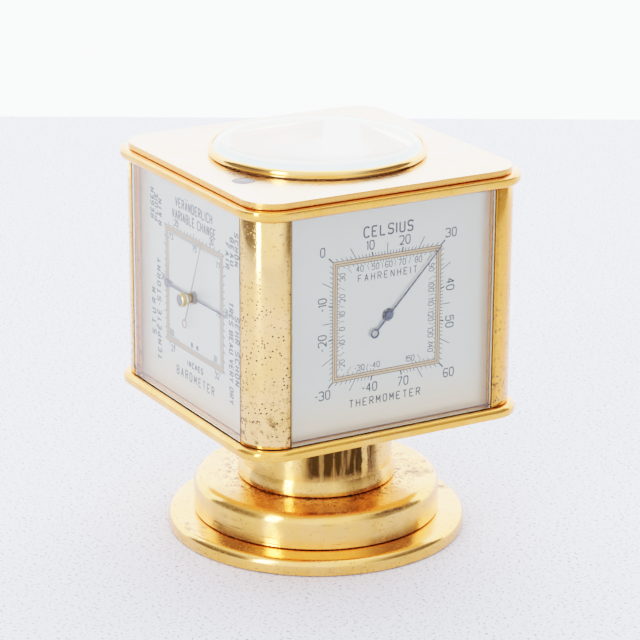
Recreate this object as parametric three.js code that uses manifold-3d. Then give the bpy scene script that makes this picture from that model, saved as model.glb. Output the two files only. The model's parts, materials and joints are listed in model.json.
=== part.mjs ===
// A desk barometer cube: a brass case with a dial behind glass on each side and a compass on top,
// turning on a stepped round base. Millimetres, +Z up, origin at the bottom centre of the base.
// The barometer faces -Y, the thermometer +X, the hygrometer +Y and the clock -X.

import * as THREE from 'three';
import { mergeVertices } from 'three/addons/utils/BufferGeometryUtils.js';
import Module from 'manifold-3d';

const wasm = await Module();
wasm.setup();

const gap = 0.3; // left between pieces that touch

const base = {
  radius: 43,
  rimTop: 2.8,
  topRadius: 41,
  height: 4.8,
  feltRadius: 39.3,
  feltThickness: 1.2,
};
const drum = { radius: 35.6, height: 10.2, shoulder: 3, wall: 1.3 };
const weight = { radius: 33.5, bore: 8, height: 7 };
const stud = { radius: 3, headRadius: 7.6, headHeight: 1.3, top: 24.6 };
const nut = { acrossCorners: 11.5, height: 3.5 };
const springWasher = { radius: 6.5, thickness: 0.7 };
const swivelWasher = { radius: 19.5, thickness: 0.5 };

const plate = { half: 44, corner: 10.5, thickness: 2.8, edge: 1.4, bottom: 39.16, top: 108.8 };
const cover = { half: 41.88, corner: 9.2, thickness: 1.75, chamfer: 0.25 };
const neck = {
  footRadius: 22.8,
  footHeight: 4.3,
  radius: 21.9,
  wall: 1.5,
  floor: 1.6,
  flangeBore: 13,
  flangeThickness: 2,
};
const neckScrew = { count: 3, circle: 17, radius: 1.2, headRadius: 2.4, headHeight: 1.2 };

const casing = { outer: 42.3, columnFace: 9.9, columnCorner: 9.7, legInner: 38.3, notch: 34.2 };
const tieRod = { place: 37.2, radius: 1.5, headRadius: 2.8, headHeight: 1 };
const pane = { outer: 42.2, thickness: 2 };
const dial = { front: 38, thickness: 0.8, half: 33.6, hole: 1.9 };

const compass = {
  holeRadius: 28.5,
  cupRadius: 28.2,
  cupWall: 1.2,
  cupFloor: 99.2,
  cardRadius: 26.6,
  cardThickness: 0.5,
  pivotRadius: 1.5,
  pivotHeight: 3.4,
  needleLength: 36,
  needleWidth: 5,
  needleThickness: 0.5,
};
const bezel = { radius: 31, seatRadius: 29.6, height: 2.15 };
const crystal = { radius: 29.3, edge: 1.3, bevel: 1, height: 2.1, crown: 0.5 };
const plug = { radius: 3, x: 17.3, y: -33, depth: 1.2 };

const hand = { thickness: 0.25, width: 0.5, hubRadius: 1.7, hubHeight: 0.6, ringRadius: 1.5 };
const handDrop = [[0, -1.6], [1.3, -0.9], [1.1, 0.6], [0, 2.6], [-1.1, 0.6], [-1.3, -0.9]];
const arborRadius = 0.6;
const arborTop = 0.1;
const pivotBore = arborRadius + gap;
const barometer = {
  handLength: 20.5,
  handTail: 17.5,
  handAngle: 90,
  handBottom: 0.36,
  pointerLength: 19.5,
  pointerTail: 9,
  pointerAngle: 22,
};
const thermometer = {
  handLength: 24,
  handTail: 6.4,
  handAngle: 44,
  coilRadius: 10,
  coilTurns: 4,
  coilFinish: 'plainBrass',
};
const hygrometer = {
  handLength: 22,
  handTail: 6.4,
  handAngle: 22,
  coilRadius: 8,
  coilTurns: 3,
  coilFinish: 'nickel',
};
const coil = { innerRadius: 2.2, strip: 0.5, height: 3.5, lift: 2, hubRadius: 1.2, handBottom: 0.45 };
const clock = {
  minuteLength: 21,
  minuteWidth: 1.5,
  minuteAngle: 54,
  hourLength: 14,
  hourWidth: 2,
  hourAngle: 304.5,
  tail: 4,
  broadest: 0.6, // share of the length, from the hub
  pipeWall: 0.5,
};

const aneroid = {
  plateRadius: 22.5,
  plateBack: -17,
  plateThickness: 1.2,
  pillarX: 19,
  pillarY: 8,
  pillarRadius: 1.5,
  bridgeFront: -2.9,
  bridgeThickness: 1,
  bridgeWidth: 24,
  bridgeEnd: 3,
  capsuleRadius: 14.5,
  capsuleHeight: 3.4,
  ridgeShares: [0.85, 0.7, 0.55, 0.4], // of the capsule's radius
  ridgeDepth: 0.6,
  postRadius: 2,
  postTop: -10.8,
  leafWidth: 8,
  leafThickness: 0.8,
  leafFoot: 17.5,
  leafTip: 3,
  rockerY: 9,
  rockerZ: -6.8,
  rockerRadius: 0.8,
  rockerHalf: 11.8,
  fingerWidth: 1,
  fingerThickness: 0.8,
  leafFinger: { x: -4, length: 6 },
  arborFinger: { x: 5, length: 6.5 },
  lugX: 11,
  lugSize: 2.4,
  lugDepth: 4,
  lugOffset: 6,
  armLength: 9,
  armOffset: 3,
};
const barometerArbor = { bottom: -8.9, drumRadius: 1.4, drumLow: -7.6, drumHigh: -5.9 };
const hairspring = { innerRadius: 1.6, outerRadius: 6, turns: 3, strip: 0.35, bottom: -5.1, top: -4.5 };
const knob = { radius: 2, stemRadius: 0.8, top: 5.9 };
const bracket = { half: 20, depth: 9, width: 8, thickness: 1 };
const movement = { radius: 20, back: -14, socketRadius: 2.2, socketDepth: 6 };

// Straight sides to a full turn of each kind of round piece, and steps along smaller curves.
const round = { screw: 12, small: 16, coarse: 24, capsule: 32, fine: 48, spiral: 14 };
const arcSteps = { corner: 8, shoulder: 5, ease: 4 };
const quarterTurn = Math.PI / 2;
const degree = Math.PI / 180;

const baseTop = base.height;
const drumBottom = baseTop + gap;
const drumTop = drumBottom + drum.height;
const neckBottom = drumTop + gap;
const neckTop = plate.bottom - gap;
const caseBottom = plate.bottom + plate.thickness;
const caseTop = plate.top - plate.thickness;
const dialHeight = (caseBottom + caseTop) / 2;
const paneHeight = caseTop - caseBottom - 2 * gap;
const coverBottom = plate.top + gap;
const coverTop = coverBottom + cover.thickness;
const bezelBottom = coverTop + gap;
const seatTop = bezelBottom + bezel.height - crystal.edge;
const columnInner = casing.outer - casing.columnFace;
const pieceAbove = gap + dial.thickness; // a piece behind the dial stops this far below its front

const washerBottom = drumTop + gap;
const floorBottom = washerBottom + swivelWasher.thickness + gap;
const floorTop = floorBottom + neck.floor;
const springBottom = floorTop + gap;
const nutBottom = springBottom + springWasher.thickness + gap;
const studBore = stud.radius + gap;

const cardBottom = compass.cupFloor + compass.cupWall + gap;
const cardTop = cardBottom + compass.cardThickness;
const pivotBottom = cardTop + gap;
const pivotTop = pivotBottom + compass.pivotHeight;
const needleBottom = pivotTop + gap;
const needleTop = needleBottom + compass.needleThickness;

const aneroidFloor = aneroid.plateBack + aneroid.plateThickness;
const pointerBottom = barometer.handBottom + hand.hubHeight + gap;
const knobBottom = pointerBottom + hand.hubHeight + gap;
const minuteBottom = hand.hubHeight + 3 * gap;

const finishes = {
  polishedBrass: { color: 0xd9a441, roughness: 0.22, metalness: 1 },
  plainBrass: { color: 0xc59a4a, roughness: 0.4, metalness: 1 },
  steel: { color: 0x9a9ca0, roughness: 0.35, metalness: 1 },
  bluedSteel: { color: 0x1d2a5c, roughness: 0.3, metalness: 0.9 },
  castIron: { color: 0x3c3a38, roughness: 0.7, metalness: 0.8 },
  silveredDial: { color: 0xd3d6d3, roughness: 0.45, metalness: 0.3 },
  clearGlass: { color: 0xe6f3f1, roughness: 0.03, metalness: 0, transparent: true, opacity: 0.3 },
  greenFelt: { color: 0x2c4a34, roughness: 1, metalness: 0 },
  blackFibre: { color: 0x1c1a18, roughness: 0.8, metalness: 0 },
  nickel: { color: 0xc3c2be, roughness: 0.28, metalness: 1 },
  red: { color: 0xa32018, roughness: 0.45, metalness: 0 },
};

// A solid of revolution about Z from [radius, height] pairs, listed from the inside bottom outwards.
// A profile that doesn't start on the axis is closed back on itself.
function turned(profile, segments = round.fine) {
  const points = profile.map(([radius, height]) => new THREE.Vector2(radius, height));
  if (profile[0][0] > 0) points.push(points[0].clone());
  return new THREE.LatheGeometry(points, segments).rotateX(quarterTurn);
}

function disc(radius, bottom, top, segments = round.coarse) {
  return turned([[0, bottom], [radius, bottom], [radius, top], [0, top]], segments);
}

function ring(inner, outer, bottom, top, segments = round.fine) {
  return turned([[inner, bottom], [outer, bottom], [outer, top], [inner, top]], segments);
}

function block(width, depth, height, x, y, z) {
  return new THREE.BoxGeometry(width, depth, height).translate(x, y, z);
}

// An outline in the XY plane, given as [x, y] pairs, raised from bottom to top.
function raised(outline, bottom, top) {
  const shape = new THREE.Shape(outline.map(([x, y]) => new THREE.Vector2(x, y)));
  const settings = { depth: top - bottom, bevelEnabled: false };
  return new THREE.ExtrudeGeometry(shape, settings).translate(0, 0, bottom);
}

// Points on an arc about a centre, from one angle to another in radians.
function arc(x, y, radius, start, end, steps) {
  return Array.from({ length: steps + 1 }, (_, i) => {
    const angle = start + ((end - start) * i) / steps;
    return [x + radius * Math.cos(angle), y + radius * Math.sin(angle)];
  });
}

function squareOutline(half, corner, inset) {
  const centre = half - corner;
  const signs = [[1, 1], [-1, 1], [-1, -1], [1, -1]];
  return signs.flatMap(([x, y], i) =>
    arc(x * centre, y * centre, corner - inset, i * quarterTurn, (i + 1) * quarterTurn, arcSteps.corner));
}

// A round-cornered square plate whose edge follows [inset, height] pairs from the bottom up.
function mouldedPlate(half, corner, edge) {
  const rings = edge.map(([inset, height]) =>
    squareOutline(half, corner, inset).map(([x, y]) => [x, y, height]));
  const count = rings[0].length;
  const last = rings.length - 1;
  const positions = [...rings.flat(), [0, 0, edge[0][1]], [0, 0, edge[last][1]]];
  const bottomCentre = positions.length - 2;
  const topCentre = positions.length - 1;
  const faces = [];
  for (let i = 0; i < count; i++) {
    const next = (i + 1) % count;
    faces.push(bottomCentre, next, i);
    faces.push(topCentre, last * count + i, last * count + next);
    for (let level = 0; level < last; level++) {
      const low = level * count;
      const high = low + count;
      faces.push(low + i, low + next, high + next);
      faces.push(low + i, high + next, high + i);
    }
  }
  const geometry = new THREE.BufferGeometry();
  geometry.setAttribute('position', new THREE.Float32BufferAttribute(positions.flat(), 3));
  geometry.setIndex(faces);
  return geometry;
}

function toSolid(geometry) {
  const bare = geometry.clone();
  bare.deleteAttribute('normal');
  bare.deleteAttribute('uv');
  const welded = mergeVertices(bare);
  const index = Array.from(welded.index.array);
  const faces = [];
  for (let i = 0; i < index.length; i += 3) {
    const [a, b, c] = index.slice(i, i + 3);
    if (a !== b && b !== c && c !== a) faces.push(a, b, c);
  }
  const vertProperties = new Float32Array(welded.attributes.position.array);
  const triVerts = new Uint32Array(faces);
  return new wasm.Manifold(new wasm.Mesh({ numProp: 3, vertProperties, triVerts }));
}

function toGeometry(solid) {
  const mesh = solid.getMesh();
  const geometry = new THREE.BufferGeometry();
  geometry.setAttribute('position', new THREE.BufferAttribute(mesh.vertProperties, 3));
  geometry.setIndex(new THREE.BufferAttribute(mesh.triVerts, 1));
  return geometry;
}

function joined(...pieces) {
  return toGeometry(pieces.map(toSolid).reduce((whole, piece) => whole.add(piece)));
}

function cut(body, ...cutters) {
  return toGeometry(cutters.map(toSolid).reduce((whole, cutter) => whole.subtract(cutter), toSolid(body)));
}

function add(parent, name, geometry, finish) {
  const mesh = new THREE.Mesh(geometry, new THREE.MeshStandardMaterial(finishes[finish]));
  mesh.name = name;
  parent.add(mesh);
  return mesh;
}

function around(count, radius, startAngle = quarterTurn) {
  return Array.from({ length: count }, (_, i) => {
    const angle = startAngle + (i * 2 * Math.PI) / count;
    return [radius * Math.cos(angle), radius * Math.sin(angle)];
  });
}

function corners(place) {
  return around(4, place * Math.SQRT2, quarterTurn / 2);
}

// Base

function feltPad() {
  return disc(base.feltRadius, 0, base.feltThickness, round.fine);
}

function baseFlange() {
  const recess = base.feltThickness + gap;
  const pocketTop = recess + stud.headHeight + gap;
  const rimBottom = gap;
  return turned([
    [stud.radius + gap, pocketTop],
    [stud.headRadius + gap, pocketTop],
    [stud.headRadius + gap, recess],
    [base.feltRadius + gap, recess],
    [base.feltRadius + gap, rimBottom],
    [base.radius - gap, rimBottom],
    [base.radius, 2 * gap],
    [base.radius, base.rimTop],
    ...arc(base.topRadius, base.rimTop, base.radius - base.topRadius, gap, quarterTurn, arcSteps.ease),
    [stud.radius + gap, baseTop],
  ]);
}

function baseDrum() {
  const shoulderCentre = drum.radius - drum.shoulder;
  const ceiling = drumTop - drum.wall;
  const inside = drum.radius - drum.wall;
  return turned([
    [inside, drumBottom],
    [drum.radius, drumBottom],
    ...arc(shoulderCentre, drumTop - drum.shoulder, drum.shoulder, 0, quarterTurn, arcSteps.shoulder),
    [stud.radius + gap, drumTop],
    [stud.radius + gap, ceiling],
    [shoulderCentre, ceiling],
    [inside, ceiling - drum.wall],
  ]);
}

function baseWeight() {
  return ring(weight.bore, weight.radius, drumBottom, drumBottom + weight.height);
}

function pivotStud() {
  const headBottom = base.feltThickness + gap;
  const headTop = headBottom + stud.headHeight;
  return turned([
    [0, headBottom],
    [stud.headRadius, headBottom],
    [stud.headRadius, headTop],
    [stud.radius, headTop],
    [stud.radius, stud.top],
    [0, stud.top],
  ], round.coarse);
}

function studNut() {
  const hexagon = around(6, nut.acrossCorners / 2, 0);
  return cut(raised(hexagon, nutBottom, nutBottom + nut.height), disc(studBore, 0, 2 * nutBottom));
}

function swivelRing() {
  return ring(studBore, swivelWasher.radius, washerBottom, washerBottom + swivelWasher.thickness);
}

function springRing() {
  const top = springBottom + springWasher.thickness;
  return ring(studBore, springWasher.radius, springBottom, top, round.coarse);
}

// Turning head: neck, plates and columns

function neckTube() {
  const inside = neck.radius - neck.wall;
  const flangeBottom = neckTop - neck.flangeThickness;
  const footTop = neckBottom + neck.footHeight;
  const tube = turned([
    [inside, neckBottom],
    [neck.footRadius - gap, neckBottom],
    [neck.footRadius, neckBottom + gap],
    [neck.footRadius, neckBottom + neck.footHeight / 3],
    [neck.radius + gap, footTop - gap],
    [neck.radius, footTop],
    [neck.radius, neckTop],
    [neck.flangeBore, neckTop],
    [neck.flangeBore, flangeBottom],
    [inside, flangeBottom],
    [inside, floorTop],
    [studBore, floorTop],
    [studBore, floorBottom],
    [inside, floorBottom],
  ]);
  return cut(tube, ...neckScrewHoles(flangeBottom - gap, neckTop + gap));
}

function neckScrewHoles(bottom, top) {
  return around(neckScrew.count, neckScrew.circle).map(([x, y]) =>
    disc(neckScrew.radius + gap, bottom, top, round.screw).translate(x, y, 0));
}

function neckScrewShape() {
  const headTop = neckTop - neck.flangeThickness - gap;
  const tip = caseBottom - 3 * gap;
  return turned([
    [0, headTop - neckScrew.headHeight],
    [neckScrew.headRadius, headTop - neckScrew.headHeight],
    [neckScrew.headRadius, headTop],
    [neckScrew.radius, headTop],
    [neckScrew.radius, tip],
    [0, tip],
  ], round.screw);
}

// Distances in from the edge and up from the square-cornered side of a moulded plate.
function plateEdge() {
  const rounding = plate.thickness - plate.edge;
  return [
    [gap / 2, 0],
    [0, gap / 2],
    ...arc(rounding, plate.edge, rounding, Math.PI, quarterTurn, arcSteps.shoulder),
  ];
}

function tieRodHoles(bottom, top) {
  return corners(tieRod.place).map(([x, y]) =>
    disc(tieRod.radius + gap, bottom, top, round.screw).translate(x, y, 0));
}

function bottomPlate() {
  const edge = plateEdge().map(([inset, height]) => [inset, plate.bottom + height]);
  const blindTop = caseBottom - 2 * gap;
  return cut(
    mouldedPlate(plate.half, plate.corner, edge),
    ...neckScrewHoles(0, blindTop),
    ...tieRodHoles(plate.bottom + 2 * gap, caseTop),
  );
}

function cornicePlate() {
  const edge = plateEdge().map(([inset, height]) => [inset, plate.top - height]).reverse();
  const headRoom = tieRod.headHeight + 2 * gap;
  const headPockets = corners(tieRod.place).map(([x, y]) =>
    disc(tieRod.headRadius + gap, plate.top - headRoom, coverTop, round.screw).translate(x, y, 0));
  return cut(
    mouldedPlate(plate.half, plate.corner, edge),
    disc(compass.holeRadius, 0, coverTop, round.fine),
    ...tieRodHoles(0, coverTop),
    ...headPockets,
  );
}

function coverPlate() {
  const edge = [
    [0, coverBottom],
    [0, coverTop - cover.chamfer],
    [cover.chamfer, coverTop],
  ];
  return cut(
    mouldedPlate(cover.half, cover.corner, edge),
    disc(compass.holeRadius, 0, 2 * coverTop, round.fine),
    disc(plug.radius + gap, coverTop - plug.depth - gap, 2 * coverTop).translate(plug.x, plug.y, 0),
  );
}

function coverPlug() {
  return disc(plug.radius, coverTop - plug.depth, coverTop).translate(plug.x, plug.y, 0);
}

// The column of the +X +Y corner: a round outside with a notch behind each leg for a dial's edge.
function cornerColumn() {
  const centre = casing.outer - casing.columnCorner;
  const outline = [
    [casing.outer, columnInner],
    ...arc(centre, centre, casing.columnCorner, 0, quarterTurn, arcSteps.corner),
    [columnInner, casing.outer],
    [columnInner, casing.legInner],
    [casing.notch, casing.legInner],
    [casing.notch, casing.notch],
    [casing.legInner, casing.notch],
    [casing.legInner, columnInner],
  ];
  const bore = disc(tieRod.radius + gap, 0, plate.top, round.screw);
  const column = raised(outline, caseBottom + gap, caseTop - gap);
  return cut(column, bore.translate(tieRod.place, tieRod.place, 0));
}

function tieRodShape() {
  const headTop = plate.top - gap;
  const headBottom = headTop - tieRod.headHeight;
  const foot = plate.bottom + 3 * gap;
  return turned([
    [0, foot],
    [tieRod.radius, foot],
    [tieRod.radius, headBottom],
    [tieRod.headRadius, headBottom],
    [tieRod.headRadius, headTop],
    [0, headTop],
  ], round.screw);
}

// Compass

function compassCup() {
  const inside = compass.cupRadius - compass.cupWall;
  return turned([
    [0, compass.cupFloor],
    [compass.cupRadius, compass.cupFloor],
    [compass.cupRadius, seatTop],
    [inside, seatTop],
    [inside, compass.cupFloor + compass.cupWall],
    [0, compass.cupFloor + compass.cupWall],
  ]);
}

function compassPivot() {
  return turned([
    [0, pivotBottom],
    [compass.pivotRadius, pivotBottom],
    [compass.pivotRadius, pivotBottom + compass.cardThickness],
    [gap, pivotTop],
    [0, pivotTop],
  ], round.screw);
}

function compassNeedle() {
  const tip = compass.needleLength / 2;
  const side = compass.needleWidth / 2;
  const lozenge = raised([[0, -tip], [side, 0], [0, tip], [-side, 0]], needleBottom, needleTop);
  return joined(lozenge, disc(compass.pivotRadius, needleBottom, needleTop + gap, round.screw));
}

function compassBezel() {
  const top = bezelBottom + bezel.height;
  const foot = bezel.radius - 2 * gap;
  return turned([
    [compass.holeRadius, bezelBottom],
    [foot, bezelBottom],
    [bezel.radius, bezelBottom + bezel.height / 2],
    [bezel.radius - gap, top - 2 * gap],
    [bezel.seatRadius + 2 * gap, top],
    [bezel.seatRadius, top],
    [bezel.seatRadius, seatTop],
    [compass.holeRadius, seatTop],
  ]);
}

// The crown rises as a parabola, so halfway out it keeps three quarters of its height.
function compassCrystal() {
  const bottom = seatTop + gap;
  const bevelTop = bottom + crystal.height;
  const halfway = 0.5;
  return turned([
    [0, bottom],
    [crystal.radius, bottom],
    [crystal.radius, bottom + crystal.edge],
    [crystal.radius - crystal.bevel, bevelTop],
    [crystal.radius * halfway, bevelTop + crystal.crown * (1 - halfway ** 2)],
    [0, bevelTop + crystal.crown],
  ]);
}

// Sides. A side's own frame has X to the viewer's right, Y up and Z out of the dial, and its origin
// is at the centre of the dial's front.

function sideFrame(parent, turn) {
  const turning = new THREE.Group();
  turning.rotation.z = turn;
  const upright = new THREE.Group();
  upright.rotation.x = quarterTurn;
  upright.position.set(0, -dial.front, dialHeight);
  turning.add(upright);
  parent.add(turning);
  return upright;
}

function dialPlate() {
  const panel = block(2 * dial.half, paneHeight, dial.thickness, 0, 0, -dial.thickness / 2);
  return cut(panel, disc(dial.hole, -2 * dial.thickness, dial.thickness));
}

function glassPane(hole) {
  const middle = pane.outer - dial.front - pane.thickness / 2;
  const sheet = block(2 * (columnInner - gap), paneHeight, pane.thickness, 0, 0, middle);
  return hole ? cut(sheet, disc(hole, 0, knob.top)) : sheet;
}

// A thin pointer lying along Y from the hub, with a round tail at its other end.
function pointer(length, tail, bottom, tailShape) {
  const half = hand.width / 2;
  const bar = raised([[-half, -tail], [half, -tail], [half / 2, length], [-half / 2, length]],
    bottom, bottom + hand.thickness);
  const hub = disc(hand.hubRadius, bottom, bottom + hand.hubHeight);
  return joined(bar, tailShape.translate(0, -tail, 0), hub);
}

function ringTail(bottom) {
  const inside = hand.ringRadius - hand.width;
  return ring(inside, hand.ringRadius, bottom, bottom + hand.thickness, round.small);
}

function dropTail(bottom) {
  return raised(handDrop, bottom, bottom + hand.thickness);
}

function arborShape(bottom, drumRadius, drumLow, drumHigh) {
  return turned([
    [0, bottom],
    [arborRadius, bottom],
    [arborRadius, drumLow],
    [drumRadius, drumLow],
    [drumRadius, drumHigh],
    [arborRadius, drumHigh],
    [arborRadius, arborTop],
    [0, arborTop],
  ], round.screw);
}

// A flat spiral strip from an inner to an outer radius.
function spiral(inner, outer, turns, thickness, bottom, top) {
  const count = Math.round(turns * round.spiral);
  const edge = (offset) => Array.from({ length: count + 1 }, (_, i) => {
    const angle = (i / count) * turns * 2 * Math.PI;
    const radius = inner + ((outer - inner) * i) / count + offset;
    return [radius * Math.cos(angle), radius * Math.sin(angle)];
  });
  return raised([...edge(thickness), ...edge(0).reverse()], bottom, top);
}

// Stands behind a dial and carries the inner end of an arbor.
function arborBracket() {
  const back = -bracket.depth;
  const front = -pieceAbove;
  const outline = [
    [-bracket.half, front],
    [-bracket.half, back],
    [bracket.half, back],
    [bracket.half, front],
    [bracket.half - bracket.thickness, front],
    [bracket.half - bracket.thickness, back + bracket.thickness],
    [bracket.thickness - bracket.half, back + bracket.thickness],
    [bracket.thickness - bracket.half, front],
  ];
  const channel = raised(outline, -bracket.width / 2, bracket.width / 2).rotateX(quarterTurn);
  return cut(channel, disc(pivotBore, 2 * back, front));
}

// A hand on an arbor that a coil turns as it winds up or unwinds.
function coilInstrument(side, name, sizes) {
  const low = -bracket.depth + bracket.thickness + coil.lift;
  const high = low + coil.height;
  const strip = spiral(coil.innerRadius, sizes.coilRadius, sizes.coilTurns, coil.strip, low, high);
  const shape = pointer(sizes.handLength, sizes.handTail, coil.handBottom, ringTail(coil.handBottom));
  add(side, `${name}_bracket`, arborBracket(), 'plainBrass');
  add(side, `${name}_coil`, strip, sizes.coilFinish);
  add(side, `${name}_arbor`, arborShape(-bracket.depth + gap, coil.hubRadius, low, high), 'steel');
  add(side, `${name}_hand`, shape, 'bluedSteel').rotation.z = -sizes.handAngle * degree;
}

// Barometer works, behind the dial

function aneroidFrame() {
  const pillarTop = aneroid.bridgeFront - aneroid.bridgeThickness - gap;
  const lugTop = aneroid.rockerZ + aneroid.lugSize / 2 + gap;
  const lugHeight = lugTop - aneroid.plateBack;
  const lugMiddle = lugTop - lugHeight / 2;
  const lugY = aneroid.rockerY + aneroid.lugOffset;
  const armY = aneroid.rockerY + aneroid.armOffset;
  const armHeight = aneroid.lugSize + gap;
  const uprights = [-1, 1].flatMap((side) => {
    const x = side * aneroid.lugX;
    const pillar = disc(aneroid.pillarRadius, aneroid.plateBack, pillarTop, round.screw);
    return [
      pillar.translate(side * aneroid.pillarX, -aneroid.pillarY, 0),
      block(aneroid.lugSize, aneroid.lugDepth, lugHeight, x, lugY, lugMiddle),
      block(aneroid.lugSize, aneroid.armLength, armHeight, x, armY, aneroid.rockerZ),
    ];
  });
  const floor = disc(aneroid.plateRadius, aneroid.plateBack, aneroidFloor, round.fine);
  const bore = disc(aneroid.rockerRadius + gap, -plate.half, plate.half, round.screw);
  bore.rotateY(quarterTurn).translate(0, aneroid.rockerY, aneroid.rockerZ);
  return cut(joined(floor, ...uprights), bore);
}

function aneroidBridge() {
  const length = 2 * (aneroid.pillarX + aneroid.bridgeEnd);
  const middle = aneroid.bridgeFront - aneroid.bridgeThickness / 2;
  const bar = block(length, aneroid.bridgeWidth, aneroid.bridgeThickness, 0, 0, middle);
  return cut(bar, disc(pivotBore, aneroid.plateBack, 0));
}

function aneroidCapsule() {
  const bottom = aneroidFloor + gap;
  const top = bottom + aneroid.capsuleHeight;
  const ridges = aneroid.ridgeShares.map((share, i) =>
    [share * aneroid.capsuleRadius, top - (i % 2) * aneroid.ridgeDepth]);
  return turned([
    [0, bottom],
    [aneroid.capsuleRadius, bottom + aneroid.ridgeDepth],
    [aneroid.capsuleRadius, top - aneroid.ridgeDepth],
    ...ridges,
    [aneroid.postRadius, top],
    [aneroid.postRadius, aneroid.postTop],
    [0, aneroid.postTop],
  ], round.capsule);
}

// The bent leaf that holds the capsule open.
function capsuleSpring() {
  const low = aneroid.postTop + gap;
  const high = low + aneroid.leafThickness;
  const foot = -aneroid.leafFoot;
  const outline = [
    [foot, aneroidFloor + gap],
    [foot + aneroid.leafThickness, aneroidFloor + gap],
    [foot + aneroid.leafThickness, low],
    [aneroid.leafTip, low],
    [aneroid.leafTip, high],
    [foot, high],
  ];
  const half = aneroid.leafWidth / 2;
  return raised(outline, -half, half).rotateX(quarterTurn);
}

// The rocking shaft: one finger is lifted by the leaf, the other pulls the arbor round.
function rockingShaft() {
  const half = aneroid.rockerHalf;
  const shaft = disc(aneroid.rockerRadius, -half, half, round.screw).rotateY(quarterTurn);
  const fingers = [aneroid.leafFinger, aneroid.arborFinger].map(({ x, length }) =>
    block(aneroid.fingerWidth, length, aneroid.fingerThickness, x, -length / 2, 0));
  return joined(shaft, ...fingers);
}

function settingKnob() {
  const headBottom = pane.outer - dial.front + gap;
  return turned([
    [0, knobBottom],
    [knob.stemRadius, knobBottom],
    [knob.stemRadius, headBottom],
    [knob.radius, headBottom],
    [knob.radius, knob.top],
    [0, knob.top],
  ], round.small);
}

function barometerWorks(side) {
  const { handBottom, handAngle, pointerAngle } = barometer;
  const { innerRadius, outerRadius, turns, strip } = hairspring;
  const { bottom, drumRadius, drumLow, drumHigh } = barometerArbor;
  const drop = dropTail(handBottom);
  const tail = ringTail(pointerBottom);
  const handShape = pointer(barometer.handLength, barometer.handTail, handBottom, drop);
  const pointerShape = pointer(barometer.pointerLength, barometer.pointerTail, pointerBottom, tail);
  const springShape = spiral(innerRadius, outerRadius, turns, strip, hairspring.bottom, hairspring.top);
  const arbor = arborShape(bottom, drumRadius, drumLow, drumHigh);
  add(side, 'barometer_frame', aneroidFrame(), 'plainBrass');
  add(side, 'aneroid_capsule', aneroidCapsule(), 'nickel');
  add(side, 'capsule_spring', capsuleSpring(), 'steel');
  add(side, 'barometer_bridge', aneroidBridge(), 'plainBrass');
  const rocker = add(side, 'rocking_shaft', rockingShaft(), 'steel');
  rocker.position.set(0, aneroid.rockerY, aneroid.rockerZ);
  add(side, 'barometer_hairspring', springShape, 'bluedSteel');
  add(side, 'barometer_arbor', arbor, 'steel');
  add(side, 'barometer_hand', handShape, 'bluedSteel').rotation.z = -handAngle * degree;
  add(side, 'set_pointer', pointerShape, 'polishedBrass').rotation.z = -pointerAngle * degree;
  add(side, 'set_knob', settingKnob(), 'polishedBrass');
}

// Clock

function clockMovement() {
  const body = disc(movement.radius, movement.back, -pieceAbove, round.fine);
  return cut(body, disc(movement.socketRadius, -pieceAbove - movement.socketDepth, 0));
}

function clockHand(length, bottom, width) {
  const shoulder = length * clock.broadest;
  const outline = [
    [-width / 2, shoulder],
    [-width / 4, -clock.tail],
    [width / 4, -clock.tail],
    [width / 2, shoulder],
    [0, length],
  ];
  return raised(outline, bottom, bottom + hand.thickness);
}

function hourHand() {
  const pipeBottom = -pieceAbove - movement.socketDepth / 2;
  const top = gap + hand.hubHeight;
  const arborRoom = disc(pivotBore, 2 * pipeBottom, 2 * top);
  const pipe = disc(pivotBore + clock.pipeWall, pipeBottom, top, round.small);
  const blade = clockHand(clock.hourLength, gap, clock.hourWidth);
  return cut(joined(blade, disc(hand.hubRadius, gap, top), pipe), arborRoom);
}

function minuteHand() {
  const blade = clockHand(clock.minuteLength, minuteBottom, clock.minuteWidth);
  const hubTop = minuteBottom + hand.hubHeight / 2;
  return joined(blade, disc(hand.hubRadius, minuteBottom, hubTop, round.small));
}

function clockWorks(side) {
  const arborFoot = -pieceAbove - movement.socketDepth + gap;
  const arbor = disc(arborRadius, arborFoot, gap + hand.hubHeight, round.screw);
  add(side, 'clock_movement', clockMovement(), 'nickel');
  add(side, 'hour_hand', hourHand(), 'bluedSteel').rotation.z = -clock.hourAngle * degree;
  add(side, 'minute_arbor', arbor, 'steel');
  add(side, 'minute_hand', minuteHand(), 'bluedSteel').rotation.z = -clock.minuteAngle * degree;
}

function buildBase(parent) {
  add(parent, 'felt_pad', feltPad(), 'greenFelt');
  add(parent, 'base_flange', baseFlange(), 'polishedBrass');
  add(parent, 'base_drum', baseDrum(), 'polishedBrass');
  add(parent, 'base_weight', baseWeight(), 'castIron');
  add(parent, 'pivot_stud', pivotStud(), 'steel');
  add(parent, 'swivel_washer', swivelRing(), 'blackFibre');
  add(parent, 'spring_washer', springRing(), 'steel');
  add(parent, 'stud_nut', studNut(), 'steel');
}

function buildCase(parent) {
  add(parent, 'neck', neckTube(), 'polishedBrass');
  around(neckScrew.count, neckScrew.circle).forEach(([x, y], i) => {
    add(parent, `neck_screw_${i + 1}`, neckScrewShape(), 'steel').position.set(x, y, 0);
  });
  add(parent, 'bottom_plate', bottomPlate(), 'polishedBrass');
  add(parent, 'cornice_plate', cornicePlate(), 'polishedBrass');
  add(parent, 'cover_plate', coverPlate(), 'polishedBrass');
  add(parent, 'cover_plug', coverPlug(), 'nickel');
  corners(tieRod.place).forEach(([x, y], i) => {
    add(parent, `corner_column_${i + 1}`, cornerColumn(), 'polishedBrass').rotation.z = i * quarterTurn;
    add(parent, `tie_rod_${i + 1}`, tieRodShape(), 'steel').position.set(x, y, 0);
  });
}

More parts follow.
